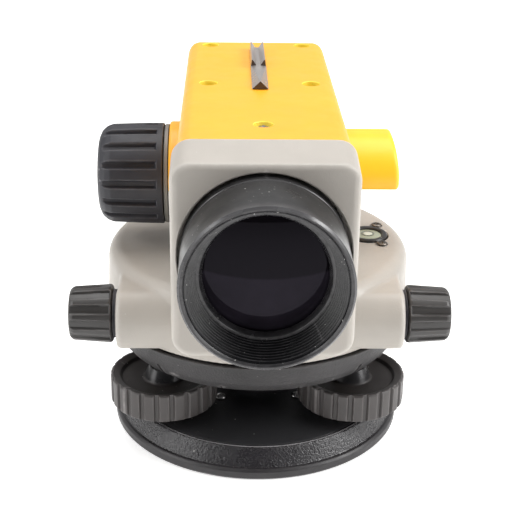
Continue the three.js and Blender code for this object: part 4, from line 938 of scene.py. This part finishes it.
def make_cover():
    field = Field((-36, COVER_FRONT, 92), (53, REAR_Y, 132))
    lean = (BODY_HALF - COVER_HALF) / (COVER_HIGH[2] - SEAM_Z)
    sides = (np.abs(field.x) - BODY_HALF + (field.z - SEAM_Z) * lean) * 0.998
    rear = field.y - REAR_Y
    section = round_and(sides, field.z - COVER_HIGH[2], 4.6)
    lid = np.maximum(round_and(section, rear, 1.2), round_and(sides, rear, 4.6))
    lid = np.maximum(lid, COVER_FRONT - field.y)
    lid = round_or(lid, focus_boss(field), 0.8)
    lid = np.maximum(lid, SEAM_Z - 2 - field.z)
    shell = round_or(lid, mirror_hood(field), 1.2)
    cover = field.mesh("cover_shell", shell, "yellow_paint")
    seam = SEAM_Z + GAP / 2
    cut(cover, box((-60, -90, 60), (26, 90, seam)), box((20, 15.5, 60), (60, 90, seam)))
    cut(cover, box((20, -30, 60), (BODY_HALF + GAP, 30, seam)))
    cut(cover, box((-25, COVER_FRONT + 3, 60), (25, 71, 127.9)), box((-60, -90, 60), (60, COVER_FRONT, 142)))
    cut(cover, hood_room())
    cut(cover, rod(17.6, -63, -55, (0, 0, AXIS_Z), "y"), rod(4.2, -45, -20, (0, 0, FOCUS_Z), "x"))
    cut(cover, rod(12.5, 65, 90, (0, 0, AXIS_Z), "y"))
    top = COVER_HIGH[2]
    for place in COVER_SCREWS:
        x, y, _ = middle("cover_screw_" + place)
        seat = extent("cover_screw_" + place)[1][2] - SCREW_HEAD - GAP
        join(cover, rod(4.6, top - 13, top - 2, (x, y, 0), turns=40))
        recess = [(0, seat), (3.2, seat), (3.3, top - 0.25), (3.7, top + 0.2), (3.7, top + 3), (0, top + 3)]
        cut(cover, lathe("tool", recess, "steel", (x, y, 0), turns=56), rod(1.5, seat - 7, top, (x, y, 0)))
    # Painted light: the mirror hood gets a lighter yellow, for the brighter light on its curved face.
    paint(cover, "hood_painted_light_yellow", lambda x, y, z: x > BODY_HALF + 1.2)
    # Painted light: the walls of the screw recesses get a lighter yellow, for light bounced inside them.
    for place in COVER_SCREWS:
        x, y, _ = middle("cover_screw_" + place)
        paint(cover, "hole_painted_light_yellow", lambda u, v, w: math.hypot(u - x, v - y) < 3.75 and w < top - 0.05)
    keep(shade(cover, 38), "top_cover")
    for place in COVER_SCREWS:
        screw("lid_screw_" + place, "cover_screw_" + place, 2.8, SCREW_HEAD, "bright_screw")


# ------------------------------------------------------------------ peep sight and bubble


def make_sight():
    """A ridge that falls to the rear, then a V trough; the faces to the front get a dark colour, painted
    shade.
    """
    low, high = extent("peep_sight")
    half, bottom, top = high[0], low[2], high[2]
    front, rear = low[1], high[1]
    junction = front + 32
    blade = [(-half, front, bottom), (half, front, bottom), (0, front, top), (-half, junction, bottom),
             (half, junction, bottom), (-half, junction, bottom + 0.5), (half, junction, bottom + 0.5),
             (0, junction, bottom + 1)]
    faces = [(0, 3, 4, 1), (0, 1, 2), (3, 5, 7, 6, 4), (0, 5, 3), (0, 2, 5), (2, 7, 5), (1, 4, 6), (1, 6, 2),
             (2, 6, 7)]
    sight = add_mesh("sight_bar", blade, faces, "sight_metal")
    trough = [(-half, bottom), (half, bottom), (half - 0.4, top), (half - 0.8, top), (0.7, bottom + 0.7),
              (-0.7, bottom + 0.7), (0.8 - half, top), (0.4 - half, top)]
    join(sight, prism("tool", trough, junction - 0.3, rear, "sight_metal"))
    bevel(sight, 0.08)
    sight.data.materials.append(LOOKS["sight_painted_shade"])
    # Painted shade: the faces that look to the front get the dark colour.
    for face in sight.data.polygons:
        if face.normal.y < -0.9:
            face.material_index = 1
    keep(sight, "peep_sight")


def make_bubble():
    low, high = extent("bubble_holder")
    bottom, top, radius = low[2], high[2], (high[0] - low[0]) / 2
    place = (BUBBLE_X, BUBBLE_Y, 0)
    cup = [(0, bottom), (radius, bottom), (radius, top - 0.5), (radius - 0.5, top), (radius - 1.6, top),
           (radius - 2.2, top - 0.5), (radius - 2.2, bottom + 1.4), (0, bottom + 1.4)]
    keep(shade(lathe("bubble_cup", refine(soften(cup, 0.2, 2), 3), "anodised_black", place, turns=96)),
         "bubble_holder")
    low, high = extent("bubble_vial")
    radius = (high[0] - low[0]) / 2
    dome = [(r, high[2] - 0.6 * (r / radius) ** 2) for r in np.linspace(0, radius - 0.3, 9)[1:]]
    vial = [(0, low[2]), (radius, low[2]), (radius, high[2] - 0.9)] + dome[::-1] + [(0, high[2])]
    keep(shade(lathe("level_vial", vial, "vial", place, turns=72)), "bubble_vial")
    mark = [(2.2, high[2] + 0.02), (2.45, high[2] + 0.02), (2.45, high[2] + 0.07), (2.2, high[2] + 0.07)]
    trim(lathe("vial_mark", mark, "anodised_black", place, turns=72), "alidade")
    air = [(0, high[2] + 0.01)] + [(1.7 * math.cos(a), high[2] + 0.16 * math.sin(a) + 0.01)
                                   for a in np.radians(np.linspace(0, 90, 7))][:-1] + [(0, high[2] + 0.17)]
    trim(shade(lathe("air_bubble", air, "bubble_air", place, turns=48), 80), "alidade")
    for i in (1, 2):
        screw(f"bubble_screw_{i}", f"bubble_adjusting_screw_{i}", 2.1, 0.7, "dull_screw", slot_depth=0.7)
    low, high = extent("bubble_mirror")
    glass_plate = prism("mirror_plate", mirror_outline(low, high), low[0], high[0], "mirror", along="x")
    keep(bevel(glass_plate, 0.25), "bubble_mirror")


def mirror_outline(low, high):
    """The [y, z] outline of the tilted mirror plate inside its CAD box."""
    thick = 1.6 / math.sqrt(2)
    return [(low[1] + thick, low[2]), (high[1], high[2] - thick), (high[1] - thick, high[2]),
            (low[1], low[2] + thick)]


# ------------------------------------------------------------------ objective and eyepiece


def make_objective():
    low, high = extent("objective_barrel")
    front, rear, radius = low[1], high[1], (high[0] - low[0]) / 2
    place = (0, 0, AXIS_Z)
    lens_low, lens_high = extent("objective_lens")
    lens_radius = (lens_high[0] - lens_low[0]) / 2
    mouth, throat, rings = 25.4, lens_radius + 1.1, 9
    funnel_end = lens_low[1] - 1.2
    funnel = []
    for i in range(rings):
        wide = mouth - 0.5 + (throat - mouth) * (i / rings)
        start = front + 0.9 + (funnel_end - front) * 0.95 * (i / rings)
        step = (funnel_end - front) * 0.95 / rings
        funnel += [(wide, start), (wide - 0.05, start + step * 0.62), (wide - 0.62, start + step * 0.8),
                   (wide - 0.5, start + step)]
    profile = funnel + [(throat, funnel_end), (throat, lens_low[1] + 8.3),
                        (lens_radius - 2, lens_low[1] + 8.3), (lens_radius - 2, rear), (24, rear),
                        (24, FACE_Y + 5), (radius - 0.2, FACE_Y + 5), (radius, FACE_Y + 4.8),
                        (radius, FACE_Y - 2.0), (radius - 0.25, FACE_Y - 2.3),
                        (radius - 0.25, FACE_Y - 2.9), (radius, FACE_Y - 3.2), (radius, front + 0.8),
                        (radius - 0.7, front), (mouth + 0.3, front), (mouth - 0.3, front + 0.5)]
    barrel = lathe("barrel_tube", ring_profile(profile, 4), "anodised_black", place, "y", turns=216)

    # The funnel and the front face inside its outer band get the deeper black; on the front face it is a
    # painted reflection of the dark room in front.
    def in_funnel(x, y, z):
        return math.hypot(x, z - AXIS_Z) < (mouth if y > front + 0.6 else radius - 0.6)

    paint(barrel, "funnel_black", in_funnel)
    paint(barrel, "rim_glint", lambda x, y, z: y < front + 0.85 and math.hypot(x, z - AXIS_Z) > radius - 0.6)
    keep(shade(barrel, 26), "objective_barrel")

    front, rear = lens_low[1], lens_high[1]
    bulge = [(r, front + 2.2 * (r / lens_radius) ** 2) for r in np.linspace(0, lens_radius - 0.2, 20)]
    lens = bulge + [(lens_radius, front + 2.4), (lens_radius, rear), (0, rear)]
    keep(shade(lathe("front_lens", lens, "objective_glass", place, "y", turns=128)), "objective_lens")

    low, high = extent("lens_retaining_ring")
    outer = (high[0] - low[0]) / 2
    ring = [(outer - 1.9, high[1] - 0.9), (outer, high[1]), (outer, low[1]), (outer - 0.9, low[1]),
            (outer - 1.2, low[1] + 0.3), (outer - 1.9, high[1] - 1.5)]
    keep(shade(lathe("retainer", ring, "funnel_black", place, "y", turns=128), 30), "lens_retaining_ring")


def make_eyepiece():
    place = (0, 0, AXIS_Z)
    low, high = extent("eyepiece_mount")
    start, end = REAR_Y + GAP, high[1]
    mount = [(9.6, low[1]), (12.2, low[1]), (12.2, start), (16.6, start), (17, start + 0.4), (17, end - 1.6),
             (16.2, end - 0.4), (15.4, end), (9.6, end)]
    mount = ring_profile(mount, 3, 0.3)
    keep(shade(lathe("mount_ring", mount, "anodised_black", place, "y", turns=128)), "eyepiece_mount")
    low, high = extent("diopter_ring")
    radius, start, end = (high[2] - low[2]) / 2, low[1], high[1]
    profile = [(9.6, start), (radius - 0.5, start), (radius, start + 0.5), (radius, end - 2.2),
               (radius - 0.4, end - 1.2), (radius - 2.4, end), (9.6, end)]
    profile = ring_profile(profile, 0.6, 0.3)
    grooves = fluted(lambda along: radius, 20, 1.5, 0.7, ends=(start + 2.2, end - 2.6), soft=0.3)
    grip = lathe("diopter_grip", profile, "knob_rubber", place, "y", turns=20 * 16, shape=grooves)
    keep(shade(grip), "diopter_ring")
    low, high = extent("eyepiece_tube")
    tube = [(6.4, low[1]), (9, low[1]), (9, high[1] - 0.4), (8.6, high[1]), (6.8, high[1]),
            (6.4, high[1] - 0.4)]
    tube = refine(np.array(tube), 3)
    keep(shade(lathe("ocular_tube", tube, "anodised_black", place, "y", turns=96)), "eyepiece_tube")
    low, high = extent("eyepiece_lens")
    front, rear, radius = low[1], high[1], 6.1
    eye = [(0, front), (radius, front + 1)]
    eye += [(r, rear - 1.0 * (r / radius) ** 2) for r in np.linspace(radius, 0, 14)]
    keep(shade(lathe("ocular_lens", eye, "coated_glass", place, "y", turns=72)), "eyepiece_lens")
    low, high = extent("eyecup")
    start, end = low[1], high[1]
    outer = (high[0] - low[0]) / 2
    cup = [(9.3, start), (11.0, start), (11.5, start + 0.6), (11.5, start + 2.6), (11.0, start + 3.2),
           (11.4, start + 4.2), (12.2, end - 2.2), (outer, end - 0.9), (outer - 0.3, end - 0.1),
           (outer - 1.2, end), (10.2, end - 0.8), (9.2, end - 2.6), (8.5, start + 6.3),
           (9.3, start + 6.3)]
    cup = ring_profile(cup, 1.0, 0.45, steps=4)
    keep(shade(lathe("eyecup_rubber", cup, "knob_rubber", place, "y", turns=128)), "eyecup")


# ------------------------------------------------------------------ hand knobs


def make_focus_knob():
    low, high = extent("focus_knob_grip")
    radius = (high[2] - low[2]) / 2
    start, end = -high[0], -low[0]
    place = (0, 0, FOCUS_Z)

    def outer(along):
        return radius - 0.25 - 0.5 * smooth_step(along, start + 4, end)

    profile = [(13.3, start), (radius - 0.6, start), (radius, start + 0.6), (radius, start + 1.9),
               (radius - 0.25, start + 2.4)]
    profile += [(outer(a), a) for a in np.linspace(start + 3, end - 5.2, 18)]
    profile += [(radius - 1.5, end - 3.0), (radius - 3.0, end - 1.3), (radius - 5.2, end - 0.3),
                (radius - 7.6, end), (radius - 9.0, end - 0.25), (0, end - 0.35)]
    core_room = [(0, end - 3.6), (13.3, end - 3.6)]
    profile = np.concatenate([core_room, refine(soften(profile, 0.5, 4), 0.7)])
    grooves = fluted(outer, 16, 2.5, 1.6, ends=(start + 3.8, end + 9), soft=0.35, turn=0.1)
    grip = lathe("focus_grip", profile, "knob_rubber", place, "-x", turns=16 * 22, shape=grooves)
    keep(shade(grip, 50), "focus_knob_grip")

    low, high = extent("focus_flange")
    outer_r = (high[2] - low[2]) / 2
    start, end = -high[0], -low[0]
    plate = [(4.2, start), (outer_r, start), (outer_r, end - 0.3), (outer_r - 0.3, end), (4.2, end)]
    plate = refine(np.array(plate), 3)
    keep(shade(lathe("focus_plate", plate, "flange_grey", place, "-x", turns=144)), "focus_flange")


def make_tangent_knob(side, direction):
    low, high = extent(side + "_tangent_knob")
    radius = (high[2] - low[2]) / 2
    start, end = min(abs(low[0]), abs(high[0])), max(abs(low[0]), abs(high[0]))
    place = (0, TANGENT_Y, TANGENT_Z)

    def outer(along):
        return radius - 1.0 * (along - start) / (end - start)

    profile = [(3.4, start), (radius - 0.9, start), (radius - 0.2, start + 0.5)]
    profile += [(outer(a), a) for a in np.linspace(start + 1.1, end - 1.8, 22)]
    profile += [(outer(end) - 0.35, end - 0.9), (outer(end) - 1.1, end - 0.2), (outer(end) - 2.2, end)]
    profile += [(outer(end) - 3.4, end - 0.1), (outer(end) - 3.9, end - 0.5), (2.4, end - 0.6),
                (0, end - 0.6)]
    shaft_room = [(0, end - 3.6), (3.4, end - 3.6)]
    profile = np.concatenate([shaft_room, refine(soften(profile, 0.3, 3), 0.6)])
    grooves = fluted(outer, 11, 3.2, 0.85, ends=(start + 2.2, end + 6), soft=0.3, turn=0.15)
    knob = lathe(side + "_slow_knob", profile, "tangent_plastic", place, direction, turns=11 * 24,
                 shape=grooves)
    keep(shade(knob, 45), side + "_tangent_knob")
    low, high = extent(side + "_tangent_seal")
    start, end = min(abs(low[0]), abs(high[0])), max(abs(low[0]), abs(high[0]))
    seal = [(3.6, start), (8.8, start), (8.6, (start + end) / 2), (8.8, end), (3.6, end)]
    seal = lathe(side + "_slow_seal", seal, "knob_rubber", place, direction, turns=72)
    keep(shade(seal), side + "_tangent_seal")


# ------------------------------------------------------------------ the whole instrument


def finish_cad_nodes():
    """Gives the CAD pieces that stay, all inside the instrument, their finish."""
    for node, slot in SLOT_OF.items():
        thing = bpy.data.objects.get(node)
        if thing is None:
            continue
        thing.data.materials.clear()
        thing.data.materials.append(LOOKS.get(slot, LOOKS["black_satin"]))


def make_floor():
    bpy.ops.mesh.primitive_plane_add(size=6, location=(0, 0, 0))
    floor = bpy.context.active_object
    floor.name = "floor"
    floor.data.materials.append(LOOKS["floor"])


finish_cad_nodes()
make_floor()
make_base()
for foot in FEET:
    make_foot(foot)
make_head()
make_housing()
make_cover()
make_sight()
make_bubble()
make_objective()
make_eyepiece()
make_focus_knob()
make_tangent_knob("right", "x")
make_tangent_knob("left", "-x")
